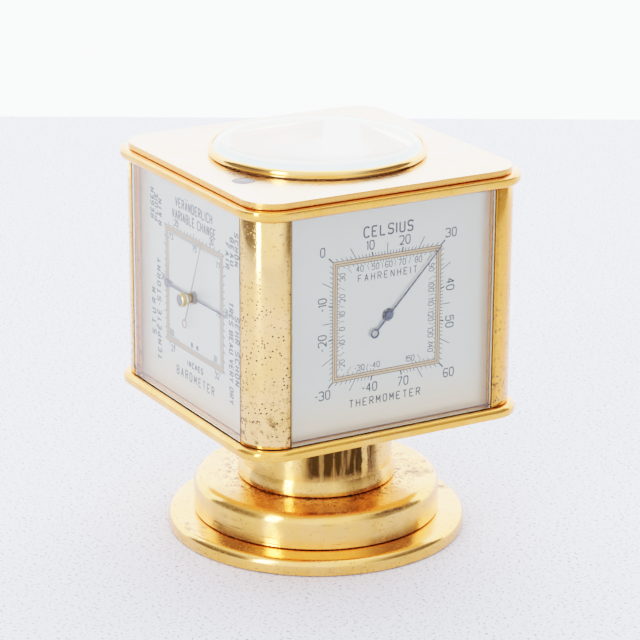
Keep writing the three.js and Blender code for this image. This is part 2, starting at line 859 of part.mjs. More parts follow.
function buildCompass(parent) {
  add(parent, 'compass_cup', compassCup(), 'silveredDial');
  add(parent, 'compass_card', disc(compass.cardRadius, cardBottom, cardTop, round.fine), 'silveredDial');
  add(parent, 'compass_pivot', compassPivot(), 'plainBrass');
  add(parent, 'compass_needle', compassNeedle(), 'red');
  add(parent, 'compass_bezel', compassBezel(), 'polishedBrass');
  add(parent, 'compass_glass', compassCrystal(), 'clearGlass');
}

function buildSides(parent) {
  const sides = ['barometer', 'thermometer', 'hygrometer', 'clock'].map((name, i) => {
    const side = sideFrame(parent, i * quarterTurn);
    add(side, `${name}_dial`, dialPlate(), 'silveredDial');
    add(side, `${name}_glass`, glassPane(i === 0 ? knob.stemRadius + gap : 0), 'clearGlass');
    return side;
  });
  barometerWorks(sides[0]);
  coilInstrument(sides[1], 'thermometer', thermometer);
  coilInstrument(sides[2], 'hygrometer', hygrometer);
  clockWorks(sides[3]);
}

const deskBarometer = new THREE.Group();
buildBase(deskBarometer);
buildCase(deskBarometer);
buildCompass(deskBarometer);
buildSides(deskBarometer);

export default deskBarometer;
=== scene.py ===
import json
import math

import bmesh
import bpy
from mathutils import Matrix, Vector


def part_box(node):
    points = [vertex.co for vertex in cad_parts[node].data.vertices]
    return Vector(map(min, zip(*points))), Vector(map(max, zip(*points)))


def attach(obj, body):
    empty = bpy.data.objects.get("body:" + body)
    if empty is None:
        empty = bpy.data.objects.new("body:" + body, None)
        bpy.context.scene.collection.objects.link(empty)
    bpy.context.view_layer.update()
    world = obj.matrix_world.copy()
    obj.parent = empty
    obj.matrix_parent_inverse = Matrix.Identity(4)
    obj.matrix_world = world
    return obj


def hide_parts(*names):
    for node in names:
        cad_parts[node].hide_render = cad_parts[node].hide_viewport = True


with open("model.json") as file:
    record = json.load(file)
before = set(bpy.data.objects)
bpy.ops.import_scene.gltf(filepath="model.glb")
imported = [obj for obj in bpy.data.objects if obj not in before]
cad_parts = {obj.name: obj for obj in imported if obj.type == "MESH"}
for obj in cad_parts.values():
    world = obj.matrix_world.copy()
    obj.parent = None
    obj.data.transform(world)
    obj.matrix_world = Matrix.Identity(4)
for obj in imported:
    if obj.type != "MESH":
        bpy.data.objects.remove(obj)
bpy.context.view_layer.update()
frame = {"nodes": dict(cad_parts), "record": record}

mm = 0.001
fullTurn = 2 * math.pi
print("frame loaded:", len(frame["nodes"]), "parts")


# Node trees, for materials and for shapes alike.

def findSocket(sockets, key):
    shown = [s for s in sockets if s.enabled]
    if isinstance(key, int):
        return shown[key]
    return next(s for s in shown if key in (s.identifier, s.name))


class Wire:
    # one output socket, which can stand in a sum
    def __init__(self, graph, socket):
        self.graph = graph
        self.socket = socket

    def math(self, operation, *terms):
        return self.graph.node("ShaderNodeMath", {"operation": operation}, dict(enumerate(terms)))

    def other(self, name):
        return Wire(self.graph, findSocket(self.socket.node.outputs, name))

    def __add__(self, term):
        return self.math("ADD", self, term)

    def __sub__(self, term):
        return self.math("SUBTRACT", self, term)

    def __rsub__(self, term):
        return self.math("SUBTRACT", term, self)

    def __mul__(self, term):
        return self.math("MULTIPLY", self, term)

    def __truediv__(self, term):
        return self.math("DIVIDE", self, term)

    def __rtruediv__(self, term):
        return self.math("DIVIDE", term, self)

    def __lt__(self, term):
        return self.math("LESS_THAN", self, term)

    def __gt__(self, term):
        return self.math("GREATER_THAN", self, term)

    def __mod__(self, term):
        return self.math("FLOORED_MODULO", self, term)

    def __abs__(self):
        return self.math("ABSOLUTE", self)

    __radd__ = __add__
    __rmul__ = __mul__


class Graph:
    # adds nodes to one tree
    def __init__(self, tree):
        self.tree = tree

    def node(self, kind, settings=None, values=None, give=0):
        node = self.tree.nodes.new(kind)
        for key, value in (settings or {}).items():
            setattr(node, key, value)
        for key, value in (values or {}).items():
            socket = findSocket(node.inputs, key)
            if isinstance(value, Wire):
                self.tree.links.new(value.socket, socket)
            else:
                socket.default_value = value
        return Wire(self, findSocket(node.outputs, give)) if node.outputs else node


# Materials. Everything sits at the origin, so Object coordinates are the row frame in metres.

def grey(value):
    return (value, value, value)


class Finish(Graph):
    def __init__(self, name):
        self.material = bpy.data.materials.new(name)
        self.material.use_nodes = True
        super().__init__(self.material.node_tree)
        self.tree.nodes.clear()
        self.place = self.node("ShaderNodeTexCoord", give="Object")

    def noise(self, size, detail=3.0, roughness=0.55, stretch=(1, 1, 1)):
        place = self.node("ShaderNodeMapping", {}, {"Vector": self.place, "Scale": stretch})
        values = {"Vector": place, "Scale": 1 / (size * mm), "Detail": detail, "Roughness": roughness}
        return self.node("ShaderNodeTexNoise", {}, values)

    def cells(self, size, seed=0.0):
        place = self.node("ShaderNodeMapping", {}, {"Vector": self.place, "Location": (seed, seed, seed)})
        return self.node("ShaderNodeTexVoronoi", {}, {"Vector": place, "Scale": 1 / (size * mm)})

    def ramp(self, value, low, high, start=0.0, end=1.0):
        # start below low, end above high, smooth between
        values = {"Value": value, "From Min": low, "From Max": high, "To Min": start, "To Max": end}
        return self.node("ShaderNodeMapRange", {"interpolation_type": "SMOOTHSTEP"}, values)

    def mix(self, share, first, second):
        colours = [value if isinstance(value, Wire) else (*value, 1) for value in (first, second)]
        values = {"Factor_Float": share, "A_Color": colours[0], "B_Color": colours[1]}
        return self.node("ShaderNodeMix", {"data_type": "RGBA"}, values, "Result_Color")

    def axes(self):
        split = self.node("ShaderNodeSeparateXYZ", {}, {"Vector": self.place})
        return split, split.other("Y"), split.other("Z")

    def radius(self):
        x, y, z = self.axes()
        return self.node("ShaderNodeMath", {"operation": "SQRT"}, {0: x * x + y * y})

    def bump(self, height, strength, distance=0.1):
        values = {"Height": height, "Strength": strength, "Distance": distance * mm}
        return self.node("ShaderNodeBump", {}, values)

    def surface(self, **values):
        # coatWeight stands for the Coat Weight socket, and so on
        sockets = {}
        for key, value in values.items():
            name = "".join(" " + c if c.isupper() else c for c in key).title().replace("Ior", "IOR")
            plainColour = name.endswith("Color") and not isinstance(value, Wire)
            sockets[name] = (*value, 1) if plainColour else value
        return self.node("ShaderNodeBsdfPrincipled", {}, sockets)

    def done(self, shader):
        self.node("ShaderNodeOutputMaterial", {}, {"Surface": shader})
        return self.material


brassValues = {
    "gold": (0.97, 0.475, 0.115),
    "paleGold": (1.0, 0.60, 0.27),
    "deepReflectionGold": (0.95, 0.36, 0.045),
    # the pale of the cover's top, a painted highlight
    "paleHighlight": (0.86, 0.71, 0.52),
    "tarnish": (0.22, 0.08, 0.015),
    "stain": (0.055, 0.024, 0.003),
    "pit": (0.055, 0.022, 0.009),
    "roughness": 0.08,
    "latheRoughness": 0.12,
    "coat": 0.25,
    "pits": (                       # spacing, radius, share, seed, depth
        (1.05, 0.31, 0.8, 3.0, 1.0),
        (0.525, 0.24, 0.6, 7.0, 0.75)),
}


def pits(f, spacing, radius, share, seed, depth):
    # ragged specks, one in some of the cells
    cell = f.cells(spacing, seed)
    chance = f.node("ShaderNodeSeparateColor", {}, {"Color": cell.other("Color")})
    distance = cell + f.noise(0.3, 2) * 0.3
    return f.ramp(distance, radius * 0.7 + 0.15, radius + 0.15, 1, 0) * (chance < share) * depth


def agedBrass(name, pitting, tarnish, brushed=0.0, lathe=0.0, pale=0.0, palest="paleGold", **marks):
    # lacquered brass: patches of brown, and specks that have eaten through the lacquer;
    # a turned surface has fine rings, which draw its highlights out across them
    v = brassValues
    f = Finish(name)
    # the marks passed in: a painted reflection in deeper orange, dark stains together with painted dark
    # reflections, and where the specks spread
    warm, stain, spread = (marks[kind](f) if kind in marks else plain
                           for kind, plain in (("warm", 0.0), ("stain", 0.0), ("spread", 1.0)))
    gold = f.mix(f.ramp(f.noise(11, 4), 0.35, 0.68) * 0.35 + pale, v["gold"], v[palest])
    patch = f.ramp(f.noise(5.5, 5, 0.65), 0.60 - 0.08 * tarnish, 0.72)
    # a painted reflection: deeper orange where the brass would mirror darker surroundings
    gold = f.mix(warm, gold, v["deepReflectionGold"])
    gold = f.mix(patch * (0.6 * tarnish), gold, v["tarnish"])
    # dark stains, and painted reflections of dark surroundings, from the marks passed in
    gold = f.mix(stain, gold, v["stain"])
    region = f.ramp(f.noise(8, 2), 0.40, 0.60, 0.4, 1.0) * spread
    large, small = (pits(f, *sort) for sort in v["pits"])
    specks = f.ramp((large + small) * region * pitting, 0.0, 1.0)
    colour = f.mix(specks, gold, v["pit"])
    lines = f.noise(0.18, 2, 0.6, (1, 0.02, 0.02))
    grooves = f.noise(0.32, 2, 0.6, (0.01, 0.01, 1))
    haze = f.ramp(f.noise(3.2, 4), 0.3, 0.75, 0, 0.1)
    rough = v["roughness"] + v["latheRoughness"] * lathe + haze + specks * 0.5 + lines * (0.25 * brushed)
    height = f.noise(0.5, 2) * 0.2 - specks * 1.2 + lines * (1.6 * brushed) + grooves * (1.5 * lathe)
    return f.done(f.surface(
        baseColor=colour, metallic=f.ramp(specks, 0, 1, 1, 0.3) - warm * 0.35, roughness=rough,
        anisotropic=min(1.0, 1.4 * lathe), anisotropicRotation=0.25,
        coatWeight=v["coat"] - stain * (0.88 * v["coat"]), coatRoughness=0.05,
        normal=f.bump(height, 0.28, 0.05)))


# where each finish has its marks, in metres: from and to
markValues = {
    "columnPits": (0.045, 0.11),
    "columnEdge": (0.0333, 0.0352),
    "columnFace": (0.03245, 0.0327),
    "columnFoot": (0.044, 0.066),
    "darkReflectionColumns": (0, 0.03),
    "coverTop": (0.11075, 0.1108),
    "drumMiddle": (0.0235, 0.0325),
    "drumPits": (0.0245, 0.036),
    "plateEdge": (0.0415, 0.0435),
    "neckFoot": (0.0195, 0.0235),
    "dialFootReflection": (0.0435, 0.059),
    "dialSideShade": (0.0305, 0.034),
    "dialLeftShade": (-0.0325, -0.0265),
    "paneSideShadow": (0.03178, 0.03186),
    "crystalEdge": (0.0272, 0.0284),
}


def nearerAxis(f):
    # the distance to the nearer of the two upright planes through the middle
    x, y, z = f.axes()
    return x.math("MINIMUM", abs(x), abs(y))


def lowDown(f):
    # more specks near the bottom of a column, few at the top
    x, y, z = f.axes()
    return f.ramp(z, *markValues["columnPits"], 1.3, 0.6)


def columnStain(f):
    # brown along the columns' edges, and blotches near their feet
    v = markValues
    x, y, z = f.axes()
    side = nearerAxis(f)
    edge = side + f.noise(1.4, 4) * 0.0022
    rim = f.ramp(edge, *v["columnEdge"], 0.55, 0) * (side > 0.03265)
    blotch = f.ramp(f.noise(2.2, 6, 0.75), 0.53, 0.6) * f.ramp(z, *v["columnFoot"], 1, 0)
    return rim + blotch * 0.8


def innerGlow(f):
    # painted reflection: the columns' inner sides, and the whole of one column, are painted a deeper orange
    x, y, z = f.axes()
    inner = f.ramp(nearerAxis(f), *markValues["columnFace"], 1, 0)
    return inner.math("MAXIMUM", inner, f.ramp(y, *markValues["darkReflectionColumns"]))


def coverRim(f):
    # the cover plate's upright edge, a painted reflection in deep orange under its top, which is painted pale
    # as a highlight
    x, y, z = f.axes()
    return f.ramp(z, *markValues["coverTop"], 0.9, 0)


def turningStreaks(f):
    # thin brown rings along the turning marks, painted reflections of dark surroundings, and brown patches by
    # the neck
    streak = f.ramp(f.noise(1.1, 4, 0.7, (0.05, 0.05, 1)), 0.575, 0.66) * f.ramp(f.noise(9, 3), 0.42, 0.6)
    patch = f.ramp(f.noise(2.2, 6, 0.8), 0.51, 0.57) * f.ramp(f.radius(), *markValues["drumMiddle"], 1, 0)
    return streak.math("MAXIMUM", streak, patch) * 0.85


def plateGlow(f):
    # a painted reflection: deeper colour on the mouldings' upright edges than on their flats, round the
    # corners too
    x, y, z = f.axes()
    side = x.math("MAXIMUM", abs(x), abs(y))
    reach = x.math("MAXIMUM", side, (abs(x) + abs(y)) * 0.5376)
    return f.ramp(reach, *markValues["plateEdge"], 0, 0.8) * f.ramp(f.noise(9, 3), 0.3, 0.6, 0.5, 1)


def neckStain(f):
    # long dark painted reflections down one side of the neck
    x, y, z = f.axes()
    bearing = x.math("ARCTAN2", y, x) + 0.523 + (f.noise(2.5, 3) - 0.5) * 0.08
    around = f.ramp(bearing, -0.26, -0.06) * f.ramp(bearing, 0.78, 1.0, 1, 0)
    streak = f.ramp(f.noise(2.2, 4, 0.6, (1, 1, 0.08)), 0.48, 0.62, 1, 0.72)
    # a narrow lighter gap in the painted reflection
    bright = f.ramp(abs(bearing - 0.68), 0.03, 0.06, 0.15, 1)
    tall = f.ramp(z + f.noise(1.2, 4) * 0.002, *markValues["neckFoot"], 0.25, 1)
    return around * streak * bright * tall


def roundNeck(f):
    # specks on the drum's top, by the neck
    return f.ramp(f.radius(), *markValues["drumPits"], 1.3, 0.35)


def shade(colour, by):
    return tuple(by * c for c in colour)


def satinMetal(name, colour, roughness):
    # lightly clouded, with fine lines and a few dark spots
    f = Finish(name)
    cloud = f.ramp(f.noise(4, 4), 0.3, 0.7)
    lines = f.noise(0.15, 2, 0.6, (0.03, 1, 1))
    spot = f.ramp(f.cells(2.4, 5.0) + f.noise(0.5) * 0.4, 0.26, 0.36, 0.15, 0)
    tone = f.mix(spot, f.mix(cloud * 0.35, colour, shade(colour, 0.62)), shade(colour, 0.25))
    return f.done(f.surface(
        baseColor=tone, metallic=1.0, roughness=roughness + lines * 0.08,
        normal=f.bump(lines, 0.04, 0.03)))


def bluedSteel(name, colour):
    f = Finish(name)
    tone = f.mix(f.noise(1.5, 3), colour, shade(colour, 2.2))
    rough = 0.24 + f.noise(0.4) * 0.16
    return f.done(f.surface(baseColor=tone, metallic=0.6, roughness=rough, coatWeight=0.1))


dialValues = {
    "paint": ((0.86, 0.855, 0.775), (0.90, 0.895, 0.82)),
    # foot: the colour of the painted reflection of the brass below; sides: of the painted reflection and
    # shadow of the columns
    "foot": (1.0, 0.82, 0.55),
    "sides": (0.80, 0.64, 0.34),
}


def silveredPaint(name):
    # satin silver-grey, faintly grained, with a painted reflection of the brass towards its foot and a
    # painted reflection and shadow of the columns along its upright edges
    v = dialValues
    f = Finish(name)
    x, y, z = f.axes()
    grain = f.noise(0.16, 2)
    colour = f.mix(f.ramp(f.noise(18, 3), 0.3, 0.75) * 0.5, *v["paint"])
    drift = f.noise(10) * 0.003
    # painted reflection and shadow of the columns: along the upright edges, and wider on the left of the
    # barometer dial
    rim = f.ramp(nearerAxis(f) + drift, *markValues["dialSideShade"], 0, 0.7)
    leftColumnShade = f.ramp(x, *markValues["dialLeftShade"], 0.4, 0) * (y < -0.037)
    # painted reflection of the brass below, towards the dial's foot
    colour = f.mix(f.ramp(z + drift, *markValues["dialFootReflection"], 0.9, 0), colour, v["foot"])
    colour = f.mix(rim.math("MAXIMUM", rim, leftColumnShade), colour, v["sides"])
    return f.done(f.surface(
        baseColor=colour, metallic=0.3, roughness=0.3 + grain * 0.14,
        normal=f.bump(grain, 0.07, 0.02)))


def dialInk(name, colour):
    f = Finish(name)
    tone = f.mix(f.noise(0.6, 3), colour, tuple(min(1.7 * c, 0.5 * c + 0.42) for c in colour))
    return f.done(f.surface(baseColor=tone, roughness=0.45 + f.noise(0.5) * 0.15))


def bandGold(name):
    f = Finish(name)
    grain = f.noise(0.2, 2)
    tone = f.mix(f.noise(2.5, 4), (0.70, 0.42, 0.17), (0.80, 0.54, 0.26))
    return f.done(f.surface(baseColor=tone, metallic=0.35, roughness=0.3 + grain * 0.2))


glassValues = {
    "index": 1.5,
    "pane": (0.985, 0.995, 0.985),
    "thick": (0.62, 0.82, 0.82),
    # edge: the brown of the panes' painted shadow by the columns
    "edge": (0.24, 0.13, 0.03),
}


def clearGlass(name, tinted, tint, paintedGlow=0.0):
    # a clear sheet with faint smears; the thick glass is tinted along its ground edge, and a pane darkened
    # there with a painted shadow; a thick edge also has a painted glow, and the rest of that glass a fainter
    # one
    f = Finish(name)
    smear = f.ramp(f.noise(12, 4), 0.45, 0.8)
    edge = tinted(f)
    colour = f.mix(edge, glassValues["pane"], glassValues[tint])
    paintedGlowColour = f.mix(edge * f.ramp(f.noise(4, 3), 0.3, 0.7, 0.6, 1), grey(0.4), glassValues[tint])
    return f.done(f.surface(
        baseColor=colour, transmissionWeight=1.0, roughness=smear * 0.01, ior=glassValues["index"],
        emissionColor=paintedGlowColour, emissionStrength=paintedGlow))


def paneEdge(f):
    # a painted shadow on the upright edges of a pane, brown where they sit by the columns
    return f.ramp(nearerAxis(f), *markValues["paneSideShadow"])


def thickEdge(f):
    # the bevel and the ground edge of the thick round glass
    return f.ramp(f.radius(), *markValues["crystalEdge"])


def feltCloth(name):
    f = Finish(name)
    fluff = f.noise(0.5, 4, 0.7)
    tone = f.mix(fluff, (0.015, 0.045, 0.025), (0.06, 0.13, 0.075))
    return f.done(f.surface(
        baseColor=tone, roughness=0.95, sheenWeight=0.4, normal=f.bump(fluff, 0.6, 0.2)))


def darkGrain(name, colour, size, roughness, metallic=0.0):
    f = Finish(name)
    grain = f.noise(size, 4, 0.65)
    tone = f.mix(grain, shade(colour, 0.6), shade(colour, 1.5))
    return f.done(f.surface(
        baseColor=tone, metallic=metallic, roughness=roughness + grain * 0.2, normal=f.bump(grain, 0.4, 0.1)))


def needlePaint(name):
    # one half of the needle red, the other dark blue
    f = Finish(name)
    x, y, z = f.axes()
    tone = f.mix(y > 0, (0.03, 0.04, 0.12), (0.5, 0.03, 0.02))
    tone = f.mix(f.noise(0.8, 3) * 0.3, tone, grey(0.25))
    return f.done(f.surface(baseColor=tone, roughness=0.32 + f.noise(0.6) * 0.1))


print("finishes")
finish = {
    "column": agedBrass(
        "columnBrass", 1.0, 0.25, pale=0.3, spread=lowDown, stain=columnStain, warm=innerGlow),
    "plate": agedBrass("plateBrass", 0.3, 0.5, warm=plateGlow),
    # the cover's pale top is a painted highlight, and its deep orange rim a painted reflection
    "cover": agedBrass("coverBrass", 0.1, 0.05, brushed=1.0, pale=0.75, warm=coverRim, palest="paleHighlight"),
    "drum": agedBrass("drumBrass", 0.9, 0.2, lathe=0.7, spread=roundNeck, stain=turningStreaks),
    "flange": agedBrass("flangeBrass", 0.5, 0.3, lathe=0.5, stain=turningStreaks),
    "neck": agedBrass("neckBrass", 0.5, 0.2, lathe=0.7, stain=neckStain),
    "bezel": agedBrass("bezelBrass", 0.15, 0.1, pale=0.2),
    "plainBrass": satinMetal("plainBrass", (0.78, 0.58, 0.27), 0.32),
    "steel": satinMetal("turnedSteel", (0.56, 0.57, 0.59), 0.3),
    "nickel": satinMetal("dullNickel", (0.30, 0.285, 0.31), 0.38),
    "blued": bluedSteel("bluedSteel", (0.009, 0.014, 0.045)),
    "darkBrass": satinMetal("darkBrass", (0.42, 0.25, 0.12), 0.35),
    "dial": silveredPaint("silveredDial"),
    "ink": dialInk("dialInk", (0.018, 0.022, 0.032)),
    "band": bandGold("bandGold"),
    "pane": clearGlass("paneGlass", paneEdge, "edge"),
    # the thick glass is given a painted glow
    "crystal": clearGlass("crystalGlass", thickEdge, "thick", 0.7),
    "felt": feltCloth("greenFelt"),
    "iron": darkGrain("castIron", (0.12, 0.115, 0.11), 1.2, 0.55, 0.8),
    "fibre": darkGrain("blackFibre", (0.03, 0.027, 0.025), 0.6, 0.6),
    "needle": needlePaint("needlePaint"),
    "white": dialInk("whiteEnamel", (0.93, 0.935, 0.92)),
}

slotFinish = {
    "polished_brass": "plate", "plain_brass": "plainBrass", "steel": "steel", "blued_steel": "blued",
    "cast_iron": "iron", "silvered_dial": "dial", "clear_glass": "pane", "green_felt": "felt",
    "black_fibre": "fibre", "nickel": "nickel", "needle_paint": "needle",
}
nodeSlot = {part["node"]: part["material_slot"] for part in frame["record"]["subparts"]}
for name, node in frame["nodes"].items():
    node.data.materials.clear()
    node.data.materials.append(finish[slotFinish[nodeSlot[name]]])


# Making pieces. Shapes are worked out in millimetres, and settle() turns them to metres.

def boxOf(node):
    low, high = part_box(node)
    return low / mm, high / mm


def addObject(name, mesh):
    piece = bpy.data.objects.new(name, mesh)
    bpy.context.scene.collection.objects.link(piece)
    return piece


def meshOf(name, points, faces, edges=()):
    mesh = bpy.data.meshes.new(name)
    mesh.from_pydata([tuple(p) for p in points], list(edges), [tuple(f) for f in faces])
    return mesh


def finishedMesh(piece):
    bpy.context.view_layer.update()
    return bpy.data.meshes.new_from_object(piece.evaluated_get(bpy.context.evaluated_depsgraph_get()))


def plainMesh(piece):
    # the modifiers' result becomes the piece's own mesh
    mesh = finishedMesh(piece)
    piece.modifiers.clear()
    piece.data = mesh
    return piece


def tidyMesh(mesh, sharpAngle=32, outward=True):
    work = bmesh.new()
    work.from_mesh(mesh)
    bmesh.ops.remove_doubles(work, verts=work.verts, dist=1e-4)
    bmesh.ops.dissolve_degenerate(work, edges=work.edges, dist=1e-5)
    if outward:
        bmesh.ops.recalc_face_normals(work, faces=work.faces)
    work.to_mesh(mesh)
    work.free()
    mesh.shade_smooth()
    mesh.set_sharp_from_angle(angle=math.radians(sharpAngle))


def settle(piece, body, look, stands=(), place=None):
    # the piece goes to its place in the row frame and rides on its body
    piece.data.transform(Matrix.Scale(mm, 4) @ (place or Matrix.Identity(4)))
    piece.data.materials.clear()
    piece.data.materials.append(finish[look])
    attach(piece, body)
    if stands:
        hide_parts(*stands)
    return piece


def shapeTree(name, inputs):
    tree = bpy.data.node_groups.new(name, "GeometryNodeTree")
    tree.interface.new_socket("Geometry", in_out="INPUT", socket_type="NodeSocketGeometry")
    for label, kind in inputs:
        tree.interface.new_socket(label, in_out="INPUT", socket_type="NodeSocket" + kind)
    tree.interface.new_socket("Geometry", in_out="OUTPUT", socket_type="NodeSocketGeometry")
    graph = Graph(tree)
    given = graph.node("NodeGroupInput")
    return graph, given


def endTree(graph, given, shape):
    solid = graph.node("GeometryNodeRealizeInstances", {}, {"Geometry": shape})
    painted = graph.node("GeometryNodeSetMaterial", {}, {
        "Geometry": solid, "Material": given.other("Material")})
    graph.node("NodeGroupOutput", {}, {"Geometry": painted})
    return graph.tree


def grow(name, mesh, tree, values):
    # runs a shape tree on a mesh and keeps its result as a plain mesh
    piece = addObject(name, mesh)
    modifier = piece.modifiers.new("shape", "NODES")
    modifier.node_group = tree
    for item in tree.interface.items_tree:
        if item.item_type == "SOCKET" and item.in_out == "INPUT" and item.name in values:
            modifier[item.identifier] = values[item.name]
    return plainMesh(piece)


def makeTurningTree():
    # spins an outline of [radius, 0, height] points about Z
    graph, given = shapeTree("turning", [("Steps", "Int"), ("Material", "Material")])
    steps = given.other("Steps")
    size = graph.node("GeometryNodeAttributeDomainSize", {"component": "MESH"}, {"Geometry": given})
    grid = graph.node("GeometryNodeMeshGrid", {}, {"Vertices X": steps + 1, "Vertices Y": size})
    index = graph.node("GeometryNodeInputIndex")
    ring = (index + 0.5) / size
    ring = ring.math("FLOOR", ring)
    row = index - ring * size
    sample = graph.node(
        "GeometryNodeSampleIndex", {"data_type": "FLOAT_VECTOR"},
        {"Geometry": given, "Value": graph.node("GeometryNodeInputPosition"), "Index": row})
    parts = graph.node("ShaderNodeSeparateXYZ", {}, {"Vector": sample})
    angle = ring / steps * fullTurn
    place = graph.node("ShaderNodeCombineXYZ", {}, {
        "X": parts * angle.math("COSINE", angle),
        "Y": parts * angle.math("SINE", angle),
        "Z": parts.other("Z")})
    spun = graph.node("GeometryNodeSetPosition", {}, {"Geometry": grid, "Position": place})
    closed = graph.node("GeometryNodeMergeByDistance", {}, {"Geometry": spun, "Distance": 0.0005})
    return endTree(graph, given, closed)


def makeTickTree():
    # a row of small bars round a dial, on a circle or on a square, every so many of them long
    graph, given = shapeTree("ticks", [
        ("Count", "Int"), ("First", "Float"), ("Step", "Float"), ("Inner", "Float"), ("Short", "Float"),
        ("Long", "Float"), ("Every", "Int"), ("Width", "Float"), ("Height", "Float"), ("Square", "Float"),
        ("Material", "Material")])
    take = given.other
    index = graph.node("GeometryNodeInputIndex")
    angle = take("First") + take("Step") * index
    sine = angle.math("SINE", angle)
    cosine = angle.math("COSINE", angle)
    corner = 1 / sine.math("MAXIMUM", abs(sine), abs(cosine))
    reach = 1 + (corner - 1) * take("Square")
    isLong = index % take("Every") < 0.5
    length = (take("Short") + (take("Long") - take("Short")) * isLong) * reach
    middle = take("Inner") * reach + length * 0.5
    spot = graph.node("ShaderNodeCombineXYZ", {}, {
        "X": sine * middle, "Y": cosine * middle, "Z": take("Height") * 0.5})
    points = graph.node("GeometryNodePoints", {}, {"Count": take("Count"), "Position": spot})
    bar = graph.node("GeometryNodeMeshCube", {}, {"Size": (1, 1, 1)})
    turn = graph.node("ShaderNodeCombineXYZ", {}, {"Z": angle * -1})
    size = graph.node("ShaderNodeCombineXYZ", {}, {"X": take("Width"), "Y": length, "Z": take("Height")})
    bars = graph.node("GeometryNodeInstanceOnPoints", {}, {
        "Points": points, "Instance": bar, "Rotation": turn, "Scale": size})
    return endTree(graph, given, bars)


def makeInkTree():
    # a flat printed line along each chain of edges
    graph, given = shapeTree("ink", [("Width", "Float"), ("Height", "Float"), ("Material", "Material")])
    path = graph.node("GeometryNodeMeshToCurve", {}, {"Mesh": given})
    level = graph.node("GeometryNodeSetCurveNormal", {"mode": "Z_UP"}, {"Curve": path})
    nib = graph.node("GeometryNodeCurvePrimitiveQuadrilateral", {"mode": "RECTANGLE"}, {
        "Width": given.other("Width"), "Height": given.other("Height")})
    line = graph.node("GeometryNodeCurveToMesh", {}, {
        "Curve": level, "Profile Curve": nib, "Fill Caps": True})
    lift = graph.node("ShaderNodeCombineXYZ", {}, {"Z": given.other("Height") * 0.5})
    raised = graph.node("GeometryNodeSetPosition", {}, {"Geometry": line, "Offset": lift})
    return endTree(graph, given, raised)


turningTree = makeTurningTree()
tickTree = makeTickTree()
inkTree = makeInkTree()


def arc(x, y, radius, start, end, steps):
    # points about a centre, angles in degrees
    angles = [math.radians(start + (end - start) * i / steps) for i in range(steps + 1)]
    return [(x + radius * math.cos(a), y + radius * math.sin(a)) for a in angles]


def turned(name, profile, look, body, stands=(), steps=128, place=None):
    # profile: [radius, height] pairs from the inside bottom outwards; one off the axis is closed
    points = list(profile)
    if points[0][0] > 0:
        points.append(points[0])
    edges = [(i, i + 1) for i in range(len(points) - 1)]
    outline = meshOf(name, [(r, 0, z) for r, z in points], [], edges)
    piece = grow(name, outline, turningTree, {"Steps": steps, "Material": finish[look]})
    tidyMesh(piece.data)
    return settle(piece, body, look, stands, place)


def roundSquare(half, corner, inset=0.0, steps=14):
    # outline points in order, the first corner at +X +Y
    centre = half - corner
    radius = max(corner - inset, 0.01)
    points = []
    for i, (sx, sy) in enumerate([(1, 1), (-1, 1), (-1, -1), (1, -1)]):
        points += arc(sx * centre, sy * centre, radius, 90 * i, 90 * i + 90, steps)
    return points


def circleLike(outline, radius):
    # one point of a circle for each point of an outline
    return [tuple(radius * c for c in Vector(p).normalized()) for p in outline]


def ringFaces(count, levels):
    # four-sided faces between rings of as many points
    return [(a * count + i, a * count + (i + 1) % count, b * count + (i + 1) % count, b * count + i)
            for a, b in levels for i in range(count)]


def plateMesh(name, half, corner, edge, hole):
    # edge: [inset, height] pairs from the bottom up; a round hole, or none where hole is 0
    rings = [[(x, y, z) for x, y in roundSquare(half, corner, inset)] for inset, z in edge]
    count = len(rings[0])
    inner = circleLike(roundSquare(half, corner), hole or 1.0)
    rings += [[(x, y, z) for x, y in inner] for z in (edge[-1][1], edge[0][1])]
    total = len(rings)
    joined = [(i, (i + 1) % total) for i in range(total) if hole or i != total - 2]
    faces = ringFaces(count, joined)
    if not hole:
        faces.append(range((total - 2) * count, (total - 1) * count))
        faces.append(range(total * count - 1, (total - 1) * count - 1, -1))
    return meshOf(name, [p for ring in rings for p in ring], faces)


def washerMesh(name, outer, inner, bottom, top):
    # a plate between an outer and an inner outline of as many points
    rings = [(outer, bottom), (outer, top), (inner, top), (inner, bottom)]
    points = [(x, y, z) for ring, z in rings for x, y in ring]
    return meshOf(name, points, ringFaces(len(outer), [(i, (i + 1) % 4) for i in range(4)]))


def extruded(name, outline, bottom, top):
    count = len(outline)
    points = [(x, y, z) for z in (bottom, top) for x, y in outline]
    faces = [tuple(range(count - 1, -1, -1)), tuple(range(count, 2 * count))] + ringFaces(count, [(0, 1)])
    return meshOf(name, points, faces)


def squareRound(corners, count):
    # evenly spaced points along the four sides of an outline, starting at its first corner
    each = count // 4
    ends = [(Vector(corners[i]), Vector(corners[(i + 1) % 4])) for i in range(4)]
    return [tuple(a.lerp(b, k / each)) for a, b in ends for k in range(each)]


def bevelled(piece, width, segments=2, angle=40):
    modifier = piece.modifiers.new("edge", "BEVEL")
    modifier.width = width
    modifier.segments = segments
    modifier.limit_method = "ANGLE"
    modifier.angle_limit = math.radians(angle)
    modifier.harden_normals = False
    plainMesh(piece)
    tidyMesh(piece.data)
    return piece


